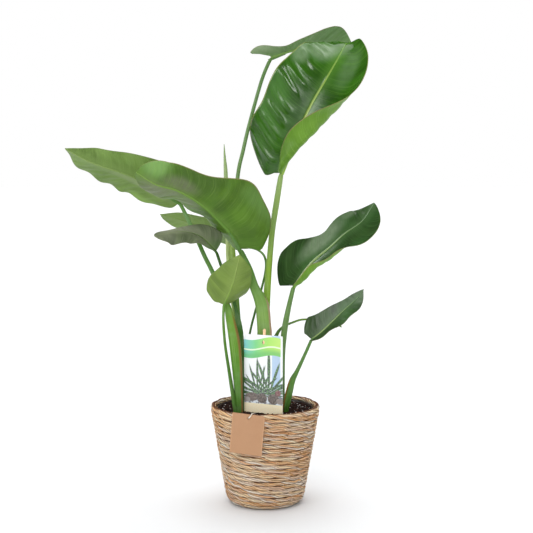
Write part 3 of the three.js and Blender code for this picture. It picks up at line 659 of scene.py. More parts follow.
def makeBlade(node, blade):
    rows, columns = blade["grid"]
    keelColumns = lamina["keelColumns"]
    keelHalf, keelDeep = blade["keel"]
    blade["at"], length = evenShares(blade["rib"])
    bm = bmesh.new()
    bmesh.ops.create_grid(bm, x_segments=2 * columns, y_segments=rows, size=0.5)
    flat = bm.verts[:] + bm.edges[:] + bm.faces[:]
    lowerParts = bmesh.ops.duplicate(bm, geom=flat)["geom"]
    lowerVerts = [v for v in lowerParts if isinstance(v, bmesh.types.BMVert)]
    bmesh.ops.translate(bm, verts=lowerVerts, vec=(0, 0, -0.01))
    bmesh.ops.bridge_loops(bm, edges=[e for e in bm.edges if e.is_boundary])
    bmesh.ops.recalc_face_normals(bm, faces=bm.faces)
    for face in bm.faces:
        face.material_index = 0 if face.normal.z > 0.5 else 1
    layers = [bm.verts.layers.float_vector.new(name) for name in ("leafPlace", "leafEdge", "leafWear")]
    frames = {}
    for vert in bm.verts:
        row = round((vert.co.y + 0.5) * rows)
        column = round(vert.co.x * 2 * columns)
        y = row / rows
        s = 0.55 * y + 0.45 * (0.5 - 0.5 * math.cos(math.pi * y))       # rows close up at foot and tip
        if row not in frames:
            frames[row] = bladeFrame(blade, s)
        sign = 1 if column >= 0 else -1
        half = blade["right"] if sign > 0 else blade["left"]
        fade = 1 - 0.8 * s
        keelEdge = keelHalf * fade
        width = max(halfWidth(half, s), keelEdge + 0.6)
        inKeel = min(abs(column) / keelColumns, 1.0)
        pastKeel = max(abs(column) - keelColumns, 0) / (columns - keelColumns)
        reach = keelEdge * inKeel + (width - keelEdge) * pastKeel
        share = reach / width
        point, normal = halfPoint(frames[row], half, sign, s, reach, width)
        slope = blade.get("veinSlope", lamina["veinSlope"])
        vein = s * length - slope * reach - lamina["veinSweep"] * reach * share ** 2
        depth, spacing = blade["pleat"]
        if sign > 0:
            depth *= blade.get("rightPleat", 1)
        pleat = pleatHeight(vein, share, s, depth, spacing, blade["seed"] + sign)
        thick = lamina["thick"] + (lamina["marginThick"] - lamina["thick"]) * smooth(share)
        hump = math.cos(inKeel * math.pi / 2) ** 1.3 * fade
        if vert.co.z > -0.005:
            lift = thick / 2 - lamina["ribGroove"] * hump
        else:
            lift = -thick / 2 - keelDeep * hump
        vert[layers[0]] = (sign * reach * mm, vein * mm, s)
        vert[layers[1]] = (share, max(keelEdge, 0.4) * mm, 0)
        # Shares of the patches, largely painted light
        vert[layers[2]] = [patchShare(blade.get(patchKind, ()), s, sign * reach) for patchKind in patchNames]
        spot = (point + normal * (pleat + lift)) * mm
        vert.co = [min(max(c, low), high) for c, low, high in zip(spot, *cadBox)]
    name = "leaf" + camelOf(node)
    skins = [
        leafSkin(name + "Upper", upperTones[blade["upper"]], blade.get("gloss", upperGloss), blade["seed"]),
        leafSkin(name + "Under", underTones[blade["under"]], underGloss, blade["seed"], True),
    ]
    return finishPiece(name, bm, skins, [node])


for bladeNode, blade in blades.items():
    for line in ("rib", "face"):
        blade[line] = [Vector(p) for p in blade[line]]
    makeBlade(bladeNode, blade)
say("blades")


# Stalks. "stalkMap" holds the share round the stalk and the share along it.

def stalkSkin(name, tones, hem=None, greyWash=0.14):
    skin, tree, shader = newSkin(name, 0.42, Specular_IOR_Level=0.16)
    turn, along = uvParts(tree, "stalkMap")
    colour = bands(tree, along, tones)
    lines = streaks(tree, turn, along, (60.0, 5.0), 3.0)
    colour = tint(tree, colour, "#a9c47c", lines, 0.5, 0.75, 0.32)
    colour = tint(tree, colour, "#35591e", lines, 0.45, 0.25, 0.4)
    cloud = clouds(tree, 40.0, 3.0)
    colour = tint(tree, colour, "#a3ba94", cloud, 0.42, 0.7, greyWash)
    if hem:
        fromEdge = unsigned(tree, minus(tree, turn, hem["turn"]))
        edgeMask = rise(tree, fromEdge, hem["wide"], hem["wide"] * 0.35)
        low = rise(tree, along, hem["until"], hem["until"] - 0.08)
        strength = times(tree, edgeMask, low)
        colour = blend(tree, times(tree, strength, 0.85), colour, hem["colour"])
    dress(tree, shader, colour, rise(tree, lines, 0.2, 0.8, 0.36, 0.5))
    bumpInto(tree, shader, lines, 0.0005, 0.5)
    return skin


# Each stalk runs through x, y, z, half-width, half-depth in millimetres, from the crown in the soil up
# to its blade's foot. A hem is the tinted edge of its sheath: where round the stalk, how wide, how far up.
crown = 136
stalks = {
    "blade_left_long": {
        "shoot": "shoot_left", "groove": 0.25,
        "path": [(-45, -40, crown, 5, 5), (-46, -42, 193, 7, 7), (-52, -42, 282, 10, 7),
                 (-61, -40, 335, 8, 6), (-69, -37, 366, 5.5, 5), (-93, -28, 419, 4, 4),
                 (-108, -14, 447, 3.9, 3.9), (-126, 5, 485, 3.7, 3.7), (-146, 23, 524, 3.4, 3.4),
                 (-154, 30, 538, 3.3, 3.3)],
        "tones": [(0.0, "#335c12"), (0.2, "#4e821d"), (0.42, "#6a992b"), (0.55, "#54862c"),
                  (0.75, "#4f7f30"), (1.0, "#4e7c2e")],
        "hem": {"turn": 0.42, "wide": 0.1, "until": 0.46, "colour": "#8a6038"},
    },
    "blade_top_back": {
        "shoot": "shoot_left", "groove": 0.6,
        "path": [(-43, -39, crown, 5, 5), (-44, -35, 193, 5, 6), (-45, -30, 282, 5, 5),
                 (-50, -20, 359, 5, 5), (-57, -6, 441, 5.2, 4.6), (-57, 0, 473, 4.4, 4.2),
                 (-49, 8, 583, 3.6, 3.6), (-39, 12, 632, 3.4, 3.4), (-27, 15, 682, 3.3, 3.3),
                 (-6, 20, 756, 3.2, 3.2), (10, 22, 795, 3.2, 3.2)],
        "tones": [(0.0, "#2c5313"), (0.25, "#346920"), (0.42, "#91b14b"), (0.52, "#97b350"),
                  (0.6, "#6d924e"), (0.8, "#5d8348"), (1.0, "#4f7732")],
    },
    "blade_left_drooping": {
        "shoot": "shoot_left", "groove": 0.3,
        "path": [(-42, -37, crown, 4, 4), (-41, -33, 200, 4, 4), (-41, -27, 298, 3.4, 3.4),
                 (-51, -27, 351, 3, 3), (-78, -28, 431, 2.7, 2.7), (-86, -34, 456, 2.5, 2.5)],
        "tones": [(0.0, "#2e5918"), (0.5, "#376523"), (1.0, "#335e1f")],
    },
    "blade_front_round": {
        "shoot": "shoot_left", "groove": 0.7,
        "path": [(-47, -42, crown, 4, 4), (-54, -45, 185, 4, 4), (-63, -48, 244, 3, 3),
                 (-70, -50, 292, 2.5, 2.5), (-73, -52, 336, 2.4, 2.4), (-72, -52, 363, 2.4, 2.4)],
        "tones": [(0.0, "#3d681a"), (0.5, "#44721f"), (1.0, "#608e2c")],
    },
    "blade_left_behind": {
        "shoot": "shoot_left", "groove": 0.4,
        "path": [(-42, -36, crown, 4, 4), (-39, -31, 193, 3.5, 3.5), (-34, -19, 250, 2.6, 2.6),
                 (-28, -5, 303, 2.2, 2.2), (-18, 2, 344, 2.1, 2.1), (-8, 10, 379, 2.1, 2.1),
                 (1, 18, 419, 2.1, 2.1), (-1, 34, 440, 2.1, 2.1), (-12, 49, 451, 2.1, 2.1),
                 (-28, 60, 456, 2.1, 2.1)],
        "tones": [(0.0, "#315917"), (0.5, "#3e6b20"), (1.0, "#5b882d")],
    },
    "blade_left_broad": {
        "shoot": "shoot_centre", "groove": 0.22,
        "path": [(-1, -24, crown, 9, 8), (-1, -26, 200, 12, 9), (-1, -26, 300, 13, 9),
                 (-2, -27, 324, 12.5, 9), (-6, -28, 362, 12, 8), (-19, -31, 392, 8.2, 6.5),
                 (-29, -37, 423, 7.2, 6), (-40, -46, 451, 5, 5), (-44, -50, 459, 4, 4)],
        "tones": [(0.0, "#497622"), (0.3, "#6a9537"), (0.55, "#7da14d"), (0.75, "#5b8739"),
                  (1.0, "#4c7a29")],
        "hem": {"turn": 0.45, "wide": 0.09, "until": 0.66, "colour": "#b8907a"},
    },
    "blade_top_front": {
        "shoot": "shoot_centre", "groove": 0.55,
        "path": [(0, -20, crown, 7, 7), (0, -16, 240, 9, 8), (0, -12, 312, 8, 8), (4, -6, 384, 6.5, 6.5),
                 (8, -3, 437, 5.6, 5.6), (13, -6, 491, 5.4, 5.4), (21, -10, 544, 5.6, 5.2),
                 (27, -14, 583, 4.6, 4.4), (28, -15, 590, 4, 4)],
        "tones": [(0.0, "#56851c"), (0.35, "#7fa81e"), (0.55, "#88ad2d"), (0.68, "#88a94e"),
                  (0.85, "#95b263"), (1.0, "#85ab47")],
    },
    "blade_right_upper": {
        "shoot": "shoot_right", "groove": 0.4,
        "path": [(32, -26, crown, 5, 5), (30, -16, 186, 5.5, 6), (30, -11, 240, 5.5, 6),
                 (31, -10, 277, 5.4, 5.6), (35, -12, 317, 5.6, 5), (42, -14, 355, 4.6, 4.4),
                 (49, -18, 386, 3.9, 3.9), (50, -18, 391, 3.6, 3.6)],
        "tones": [(0.0, "#335a1b"), (0.4, "#567d37"), (0.7, "#678a4b"), (1.0, "#5a813e")],
    },
    "blade_right_lower": {
        "shoot": "shoot_right", "groove": 0.3,
        "path": [(34, -32, crown, 5, 6), (36, -40, 173, 5.6, 7), (39, -41, 192, 6.6, 7),
                 (43, -41, 210, 6.3, 6), (48, -40, 228, 5.4, 5), (57, -40, 246, 3.6, 3.6),
                 (69, -41, 272, 2.9, 2.9), (80, -44, 298, 2.7, 2.7), (81, -44, 300, 2.6, 2.6)],
        "tones": [(0.0, "#2c5514"), (0.3, "#396714"), (0.45, "#4c7a27"), (0.7, "#537f3a"),
                  (1.0, "#507c35")],
        "hem": {"turn": 0.07, "wide": 0.09, "until": 0.52, "colour": "#a06a30"},
    },
    "blade_right_behind": {
        "shoot": "shoot_right", "groove": 0.3,
        "path": [(28, -20, crown, 5, 5), (24, -6, 180, 4.5, 5), (20, 4, 240, 4.2, 4.4), (18, 9, 288, 4, 4),
                 (23, 11, 306, 3, 3), (34, 12, 317, 2.2, 2.2), (48, 12, 323, 2, 2), (63, 14, 328, 1.9, 1.9),
                 (79, 16, 329, 1.8, 1.8)],
        "tones": [(0.0, "#355d19"), (0.45, "#3d671c"), (0.7, "#4d7525"), (1.0, "#728e32")],
    },
}

stalkShape = {"around": 28, "along": 90, "grooveDepth": 0.22, "grooveWide": 0.09, "runOn": 0.16,
              "joined": 0.9}                        # the share of a tube that lies below its blade's foot


def stalkRing(x, point, half, deep, tangent, swell=1.0):
    # A place on the ring round a stalk's middle line
    tangent = Vector(tangent[:3]).normalized()
    across = Vector((0, -1, 0)).cross(tangent).normalized()
    inward = tangent.cross(across)
    turn = 2 * math.pi * x
    return (point + (across * (half * math.cos(turn)) + inward * (deep * math.sin(turn))) * swell) * mm


def makeStalk(node, stalk):
    blade = blades[node]
    body = [Vector(p) for p in stalk["path"]]
    at = evenShares(body)[0]
    joined, runOn = stalkShape["joined"], stalkShape["runOn"]
    keelHalf, keelDeep = blade["keel"]

    def centre(v):
        if v <= joined:
            u = at(v / joined)
            key = spline(body, u)
            return Vector(key[:3]), key[3], key[4], heading(body, u)
        s = runOn * (v - joined) / (1 - joined)
        origin, tangent, up = bladeFrame(blade, s)[:3]
        slim = 1 - smooth(s / runOn)
        half = keelHalf * (0.35 + 0.65 * slim)
        deep = keelDeep * (0.3 + 0.5 * slim)
        return origin - up * (keelDeep * 0.55 + 0.3 * keelDeep * (1 - slim)), half, deep, tangent

    def place(x, v):
        gap = abs((x - stalk["groove"] + 0.5) % 1 - 0.5) / stalkShape["grooveWide"]
        pinch = 1 - stalkShape["grooveDepth"] * math.exp(-gap * gap) * smooth((1 - v) / 0.2)
        return stalkRing(x, *centre(v), pinch)

    bm = bmesh.new()
    wrapGrid(bm, stalkShape["around"], stalkShape["along"], place, "stalkMap")
    name = "stalk" + camelOf(node)
    skin = stalkSkin(name + "Skin", stalk["tones"], stalk.get("hem"))
    return finishPiece(name, bm, [skin], [stalk["shoot"]])


for stalkNode, stalk in stalks.items():
    makeStalk(stalkNode, stalk)
say("stalks")


# Spear: the newest leaf, still rolled up, with the rolled edge winding along it
spear = {
    "path": [(-53, -22, 330, 2.6, 2.6), (-62, -4, 390, 3.4, 3.4), (-66, 6, 441, 4, 4),
             (-67, 8, 480, 4.1, 4.1), (-70, 10, 583, 3.8, 3.8), (-72, 11, 620, 2, 2),
             (-73, 12, 643, 0.5, 0.5)],
    "tones": [(0.0, "#8fb254"), (0.25, "#c3d680"), (0.5, "#cfdd9c"), (0.75, "#bcd194"), (1.0, "#8aa864")],
    "hem": {"turn": 0.62, "wide": 0.12, "until": 1.1, "colour": "#d9cf7a"},
    "around": 28,
    "along": 80,
    "overlap": 0.15,
}


def makeSpear(settings):
    body = [Vector(p) for p in settings["path"]]
    at = evenShares(body)[0]

    def place(x, v):
        u = at(v)
        key = spline(body, u)
        lap = (x + 0.38 - 0.25 * v) % 1                 # steps out once round, where the roll's edge lies
        swell = 1 + settings["overlap"] * (lap - 0.5) * smooth((1 - lap) / 0.06)
        return stalkRing(x, Vector(key[:3]), key[3], key[4], heading(body, u), swell)

    bm = bmesh.new()
    wrapGrid(bm, settings["around"], settings["along"], place, "stalkMap")
    skin = stalkSkin("spearSkin", settings["tones"], settings["hem"], 0.1)
    return finishPiece("spearLeaf", bm, [skin], ["spear_leaf"])


makeSpear(spear)
say("spear")


# Basket: rings of loosely twisted rope, laid along a line that runs out over the foot and up the
# wall. "ropeMap" holds the strand's number with its share, and the ring's number with the share round.

basket = {
    "ropeLine": [(6, 4.4), (54, 4.4), (59, 5.8), (63.4, 9), (66, 13), (67.4, 18), (93.0, 165.6)],
    "pitch": 7.9,
    "ropeHalf": 4.5,
    "strands": 3,
    "strandEvery": 33,
    "grooveDepth": 0.2,
    "around": 14,
    "step": 2.1,
    "wander": 1.3,
    "uneven": 0.14,
    "rim": {"number": 90, "radius": 93.2, "height": 173.3, "half": 4.9, "uneven": 0.2},
    "footRings": 9,
    "footTop": 12,
    "seed": 5,
}


def seagrassSkin(name):
    skin, tree, shader = newSkin(name, 0.8, Specular_IOR_Level=0.12)
    phase, around = uvParts(tree, "ropeMap")
    crest = attributeParts(tree, "ropeCrest")[0]
    ply = times(tree, phase, 2.0)
    strand = calc(tree, "FLOOR", ply)
    ring = calc(tree, "FLOOR", around)
    inStrand = calc(tree, "FRACT", ply)
    dice = tree.nodes.new("ShaderNodeTexWhiteNoise")
    dice.noise_dimensions = "3D"
    tree.links.new(gather(tree, strand, ring), dice.inputs["Vector"])
    colour = bands(tree, dice.outputs["Value"], [(0.0, "#d0945c"), (0.18, "#ffcf98"), (0.38, "#ffeac4"),
                                                 (0.56, "#f3b982"), (0.72, "#fff8ea"), (1.0, "#e4a874")])
    straps = streaks(tree, phase, around, (3.0, 9.0), 3.0, 0.6, ring)
    fibre = streaks(tree, phase, around, (11.0, 40.0), 4.0, 0.65, ring)
    colour = tint(tree, colour, "#fee8c8", straps, 0.5, 0.66, 0.8)
    colour = tint(tree, colour, "#bd8455", straps, 0.46, 0.34, 0.5)
    colour = tint(tree, colour, "#925e38", fibre, 0.42, 0.3, 0.7)
    colour = tint(tree, colour, "#fff3de", fibre, 0.56, 0.68, 0.9)
    rosy = clouds(tree, 45.0, 2.0)
    colour = tint(tree, colour, "#dca88a", rosy, 0.52, 0.74, 0.25)
    # Painted shade: darker brown in the creases between the plies
    groove = unsigned(tree, minus(tree, times(tree, inStrand, 2.0), 1.0))
    colour = tint(tree, colour, "#84502f", groove, 0.74, 1.0, 0.75)
    # Painted shade: dark brown where the rope rings meet, where the crest attribute is low
    sunk = plus(tree, crest, times(tree, fibre, 0.7))
    colour = tint(tree, colour, "#6e3a1c", sunk, 1.04, 0.78, 0.9)
    dress(tree, shader, colour, rise(tree, fibre, 0.2, 0.8, 0.88, 0.6))
    hump = minus(tree, 1.0, times(tree, groove, groove))
    height = plus(tree, plus(tree, fibre, straps), times(tree, hump, 1.3))
    bumpInto(tree, shader, height, 0.0022, 1.0)
    return skin


def ropeRing(bm, number, radius, height, half, uneven, settings):
    length = 2 * math.pi * radius
    along = max(24, round(length / settings["step"]))
    crossings = max(6, round(length / settings["strandEvery"]))
    vectors = bm.verts.layers.float_vector
    crestLayer = vectors.get("ropeCrest") or vectors.new("ropeCrest")
    kept = set(bm.verts)

    def phaseOf(x, v):
        slack = 0.5 * noise.noise(polar(4, 2 * math.pi * v, number))
        return settings["strands"] * x - crossings * v + slack + 50

    def place(x, v):
        phi = 2 * math.pi * v
        theta = 2 * math.pi * x
        ridge = abs(math.sin(math.pi * phaseOf(x, v))) ** 0.7
        here = polar(9, phi, 1.7 * number)
        swell = 1 + uneven * noise.noise(here)
        size = half * swell * (1 - settings["grooveDepth"] * (1 - ridge))
        sway = settings["wander"] * noise.noise(here * 0.45 + Vector((7, 3, 0)))
        out = radius - size * math.cos(theta) + 0.4 * sway
        up = max(height + size * math.sin(theta) + sway * smooth((height - 6) / 10), 0.0)
        return polar(out, phi, up) * mm

    wrapGrid(bm, settings["around"], along, place, "ropeMap",
             lambda x, v: (phaseOf(x, v), number + 0.9999 * v), capped=False)
    # ropeCrest: how far a place lies out from the rope's mid-height; the skin paints shade between the
    # rings where it is low, and the foot rings get none
    for vert in bm.verts:
        if vert not in kept:
            out = (Vector((vert.co.x, vert.co.y)).length / mm - radius) / half
            vert[crestLayer] = (abs(out) if height > settings["footTop"] else 1.0, 0, 0)


def ropeCentres(line, pitch):
    points = [Vector(p) for p in line]
    lengths = [(b - a).length for a, b in zip(points, points[1:])]
    rings = round(sum(lengths) / pitch)
    centres = []
    for number in range(rings + 1):
        far = sum(lengths) * number / rings
        leg = 0
        while leg < len(lengths) - 1 and far > lengths[leg]:
            far -= lengths[leg]
            leg += 1
        centres.append(points[leg].lerp(points[leg + 1], far / lengths[leg]))
    return centres


def makeBasket(settings):
    skin = seagrassSkin("seagrassRope")
    centres = ropeCentres(settings["ropeLine"], settings["pitch"])
    foot, wall, rim = bmesh.new(), bmesh.new(), bmesh.new()
    for number, (radius, height) in enumerate(centres):
        part = foot if number < settings["footRings"] else wall
        ropeRing(part, number + settings["seed"], radius, height, settings["ropeHalf"], settings["uneven"],
                 settings)
    top = settings["rim"]
    ropeRing(rim, top["number"], top["radius"], top["height"], top["half"], top["uneven"], settings)
    for name, bm in (("basketFoot", foot), ("basketWall", wall), ("basketRim", rim)):
        finishPiece(name, bm, [skin], ["basket"])
    return centres


ropes = makeBasket(basket)
say("basket")


# Loose ends: slivers of grass on the rope wall, with their middles just inside its face
looseEnds = {"count": 170, "long": (6, 15), "thick": 0.45, "tip": 0.12, "sunk": 0.2, "seed": 12}


def makeLooseEnds(settings):
    rng = random.Random(settings["seed"])
    walls = ropes[basket["footRings"]:]
    bm = bmesh.new()
    for number in range(settings["count"]):
        radius, height = rng.choice(walls)
        phi = rng.uniform(0, 2 * math.pi)
        long = rng.uniform(*settings["long"]) * mm
        out = (radius + basket["ropeHalf"] - settings["sunk"]) * mm
        turn = Matrix.Rotation(phi, 4, "Z")
        lean = Matrix.Rotation(math.radians(rng.uniform(-108, -70)), 4, "X")
        tip = Matrix.Rotation(math.radians(rng.uniform(-7, 3)), 4, "Z")
        middle = Matrix.Translation((out, 0, (height + rng.uniform(-2.5, 2.5)) * mm))
        bmesh.ops.create_cone(bm, cap_ends=True, segments=5, radius1=settings["thick"] * mm,
                              radius2=settings["tip"] * mm, depth=long, matrix=turn @ middle @ tip @ lean)
    skin, tree, shader = newSkin("looseGrass", 0.75, Specular_IOR_Level=0.25)
    streak = clouds(tree, 160.0, 2.0)
    dress(tree, shader, bands(tree, streak, [(0.3, "#cfa878"), (0.5, "#e4cba8"), (0.7, "#f2e3cd")]))
    return finishPiece("looseEnds", bm, [skin])


makeLooseEnds(looseEnds)
say("loose ends")


# Nursery pot: thin black plastic with a rolled rim
potShape = {
    "profile": [(0, 8.3), (54, 8.3), (56, 9.5), (82.6, 166.2), (83.8, 167.4), (85.4, 167.4),
                (86, 168.2), (86, 171.8), (85.2, 172.6), (83.4, 172.6), (82.8, 172), (81.9, 166),
                (55.4, 10.4), (54.6, 9.9), (0, 9.9)],
    "around": 128,
}


def makePot(settings):
    bm = bmesh.new()
    corners = [bm.verts.new((r * mm, 0, z * mm)) for r, z in settings["profile"]]
    line = [bm.edges.new(pair) for pair in zip(corners, corners[1:])]
    bmesh.ops.spin(bm, geom=corners + line, cent=(0, 0, 0), axis=(0, 0, 1), angle=2 * math.pi,
                   steps=settings["around"], use_merge=True)
    bmesh.ops.remove_doubles(bm, verts=bm.verts, dist=1e-6)
    bmesh.ops.recalc_face_normals(bm, faces=bm.faces)
    skin, tree, shader = newSkin("potPlastic", 0.5, Specular_IOR_Level=0.45)
    grain = clouds(tree, 1400.0, 3.0)
    dust = clouds(tree, 60.0, 4.0)
    colour = blend(tree, rise(tree, dust, 0.35, 0.6, 0.0, 0.9), "#1f1a18", "#3a2a22")
    dress(tree, shader, colour, rise(tree, dust, 0.3, 0.7, 0.42, 0.7))
    bumpInto(tree, shader, grain, 0.0002, 0.5)
    return finishPiece("nurseryPot", bm, [skin], ["nursery_pot"])


makePot(potShape)
say("pot")


# Soil: a crumbly surface, with loose crumbs of coir and bark and white grains of perlite
soil = {
    "level": 170.9,
    "depth": 24,
    "mound": 2.0,
    "sunk": 0.8,
    "around": 150,
    "along": 56,
    "sideShare": 0.06,
    "sideSlope": 0.175,
    "clear": 3,
    "crumbs": {"count": 1500, "size": (0.5, 2.0), "seed": 21},
    "perlite": {"count": 170, "size": (0.5, 1.3), "seed": 22},
}
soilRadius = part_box("soil")[1][0] / mm


def soilHeight(x, y):
    radius = math.hypot(x, y)
    rolling = 1.0 * noise.noise(Vector((x / 16, y / 16, 4)))
    lumps = 1.1 * noise.noise(Vector((x / 4.2, y / 4.2, 9)))
    grit = 0.6 * noise.noise(Vector((x / 1.7, y / 1.7, 2)))
    rough = (rolling + lumps + grit) * smooth((soilRadius - radius) / 6)
    return soil["level"] + soil["mound"] * (1 - (radius / soilRadius) ** 2) + rough - soil["sunk"]


def makeSoil(settings):
    sideShare = settings["sideShare"]

    def place(x, v):
        phi = 2 * math.pi * x
        if v < sideShare:
            drop = settings["depth"] * (1 - v / sideShare)
            radius = soilRadius - settings["sideSlope"] * drop
            return polar(radius, phi, settings["level"] - drop - settings["sunk"]) * mm
        radius = soilRadius * max(1 - (v - sideShare) / (1 - sideShare), 0.002)
        across, deep = radius * math.cos(phi), radius * math.sin(phi)
        return Vector((across, deep, soilHeight(across, deep))) * mm

    bm = bmesh.new()
    wrapGrid(bm, settings["around"], settings["along"], place, "soilMap")
    skin, tree, shader = newSkin("pottingSoil", 0.95, Specular_IOR_Level=0.15)
    clods = clouds(tree, 260.0, 5.0, 0.7)
    grit = clouds(tree, 900.0, 3.0)
    colour = bands(tree, clods, [(0.3, "#120a08"), (0.5, "#241411"), (0.62, "#361f19"), (0.78, "#4c3228")])
    colour = tint(tree, colour, "#64453a", grit, 0.62, 0.75, 0.4)
    dress(tree, shader, colour)
    bumpInto(tree, shader, plus(tree, clods, times(tree, grit, 0.4)), 0.003, 1.0)
    return finishPiece("soilSurface", bm, [skin], ["soil"])


def scatterGrains(name, settings, skin):
    rng = random.Random(settings["seed"])
    bm = bmesh.new()
    for number in range(settings["count"]):
        radius = (soilRadius - soil["clear"]) * math.sqrt(rng.random())
        phi = rng.uniform(0, 2 * math.pi)
        x, y = radius * math.cos(phi), radius * math.sin(phi)
        size = rng.uniform(*settings["size"])
        squash = Matrix.Diagonal((rng.uniform(0.7, 1.5), rng.uniform(0.6, 1.1), rng.uniform(0.5, 0.9), 1))
        spin = Matrix.Rotation(rng.uniform(0, math.pi), 4, "Z")
        tilt = Matrix.Rotation(rng.uniform(-0.5, 0.5), 4, "X")
        spot = Matrix.Translation(Vector((x, y, soilHeight(x, y) + 0.25 * size)) * mm)
        bmesh.ops.create_icosphere(bm, subdivisions=1, radius=size * mm, matrix=spot @ spin @ tilt @ squash)
    return finishPiece(name, bm, [skin], smooth=False)


def makeGrains():
    bark, tree, shader = newSkin("barkCrumbs", 0.9, Specular_IOR_Level=0.15)
    tones = [(0.35, "#170c0a"), (0.5, "#2e1b17"), (0.6, "#462b23"), (0.72, "#694638")]
    dress(tree, shader, bands(tree, clouds(tree, 330.0, 1.0), tones))
    scatterGrains("soilCrumbs", soil["crumbs"], bark)
    white, tree, shader = newSkin("perliteGrains", 0.8, Specular_IOR_Level=0.3)
    tones = clouds(tree, 500.0, 2.0)
    dress(tree, shader, bands(tree, tones, [(0.35, "#b9b2ac"), (0.55, "#ece9e6"), (0.7, "#ffffff")]))
    scatterGrains("perlite", soil["perlite"], white)


makeSoil(soil)
makeGrains()
say("soil")


# Flat cards: a cut outline with a hole, given its thickness, then set in place.
# "cardMap" holds the place on the face in widths of the card, from its lower left corner.

cardCuts = 16


def cutCard(settings, bend):
    wide, tall, corner, thick = [settings[key] * mm for key in ("wide", "tall", "corner", "thick")]
    x, y, halfWide, halfTall = [measure * mm for measure in settings["hole"]]
    bm = bmesh.new()
    bmesh.ops.create_grid(bm, x_segments=1, y_segments=1, size=0.5)
    bmesh.ops.scale(bm, vec=(wide, tall, 1), verts=bm.verts)
    bmesh.ops.delete(bm, geom=bm.faces[:], context="FACES_ONLY")
    bmesh.ops.triangle_fill(bm, edges=bm.edges, use_beauty=True)
    bmesh.ops.dissolve_limit(bm, angle_limit=0.01, verts=bm.verts, edges=bm.edges)
    bmesh.ops.bevel(bm, geom=bm.verts[:], offset=corner, segments=5, profile=0.5, affect="VERTICES",
                    material=-1)
    bmesh.ops.delete(bm, geom=bm.faces[:], context="FACES_ONLY")
    ring = bmesh.ops.create_circle(bm, cap_ends=False, radius=1, segments=28)["verts"]
    bmesh.ops.scale(bm, vec=(halfWide, halfTall, 1), verts=ring)
    bmesh.ops.translate(bm, vec=(x, y, 0), verts=ring)
    bmesh.ops.triangle_fill(bm, edges=bm.edges, use_beauty=True)
    for axis, size in ((Vector((1, 0, 0)), wide), (Vector((0, 1, 0)), tall)):
        for step in range(1, cardCuts):
            cut = axis * size * (step / cardCuts - 0.5)
            everything = bm.verts[:] + bm.edges[:] + bm.faces[:]
            bmesh.ops.bisect_plane(bm, geom=everything, plane_co=cut, plane_no=axis, dist=1e-6)
    bmesh.ops.recalc_face_normals(bm, faces=bm.faces)
    if sum(f.normal.z for f in bm.faces) < 0:
        bmesh.ops.reverse_faces(bm, faces=bm.faces)
    layer = bm.loops.layers.uv.new("cardMap")
    bmesh.ops.solidify(bm, geom=bm.faces[:], thickness=thick)
    bmesh.ops.recalc_face_normals(bm, faces=bm.faces)
    for face in bm.faces:
        face.material_index = 0 if face.normal.z > 0.5 else 1
        for loop in face.loops:
            loop[layer].uv = (loop.vert.co.x / wide + 0.5, (loop.vert.co.y + tall / 2) / wide)
    for vert in bm.verts:
        vert.co.z += bend(vert.co.x / wide, vert.co.y / tall)
    return bm


# Care card: its print in front, a plain back, turned by "yaw" over its stake
labelCard = {"wide": 75, "tall": 142, "thick": 0.5, "corner": 2.0, "hole": (0, 58, 2.5, 3.5), "yaw": -26,
             "centre": (-3, -52), "bottom": 168}


def ovalMask(tree, u, w, middle, half, soft=0.12):
    du = ratio(tree, minus(tree, u, middle[0]), half[0])
    dw = ratio(tree, minus(tree, w, middle[1]), half[1])
    square = plus(tree, times(tree, du, du), times(tree, dw, dw))
    return rise(tree, square, 1 + soft, 1 - soft)


cardPrint = {
    "tufts": [{"root": (0.64, 0.52), "reach": 0.8, "count": 17, "wide": 0.15, "spread": 1.55},
              {"root": (0.34, 0.5), "reach": 0.66, "count": 21, "wide": 0.2, "spread": 1.9},
              {"root": (0.5, 0.46), "reach": 0.5, "count": 25, "wide": 0.2, "spread": 1.9}],
    "stones": [((0.2, 0.42), (0.17, 0.1), "#4c3d35"), ((0.46, 0.4), (0.13, 0.12), "#332a27"),
               ((0.76, 0.4), (0.15, 0.12), "#3c312c"), ((0.93, 0.36), (0.1, 0.07), "#857c77"),
               ((0.88, 0.55), (0.075, 0.07), "#6d2a33"), ((0.07, 0.35), (0.09, 0.06), "#8f8b8a")],
}


def tuftMask(tree, u, w, tuft):
    across = minus(tree, u, tuft["root"][0])
    above = minus(tree, w, tuft["root"][1])
    angle = calc(tree, "ARCTAN2", across, above)
    far = calc(tree, "SQRT", plus(tree, times(tree, across, across), times(tree, above, above)))
    uneven = times(tree, calc(tree, "COSINE", times(tree, angle, 5.0)), 0.16)
    taper = ratio(tree, far, plus(tree, tuft["reach"], uneven))
    blade = calc(tree, "COSINE", times(tree, angle, float(tuft["count"])))
    body = minus(tree, plus(tree, blade, 0.55), times(tree, taper, 1.5))
    inside = rise(tree, unsigned(tree, angle), tuft["spread"], tuft["spread"] - tuft["wide"])
    return times(tree, rise(tree, body, -0.15, 0.15), inside)


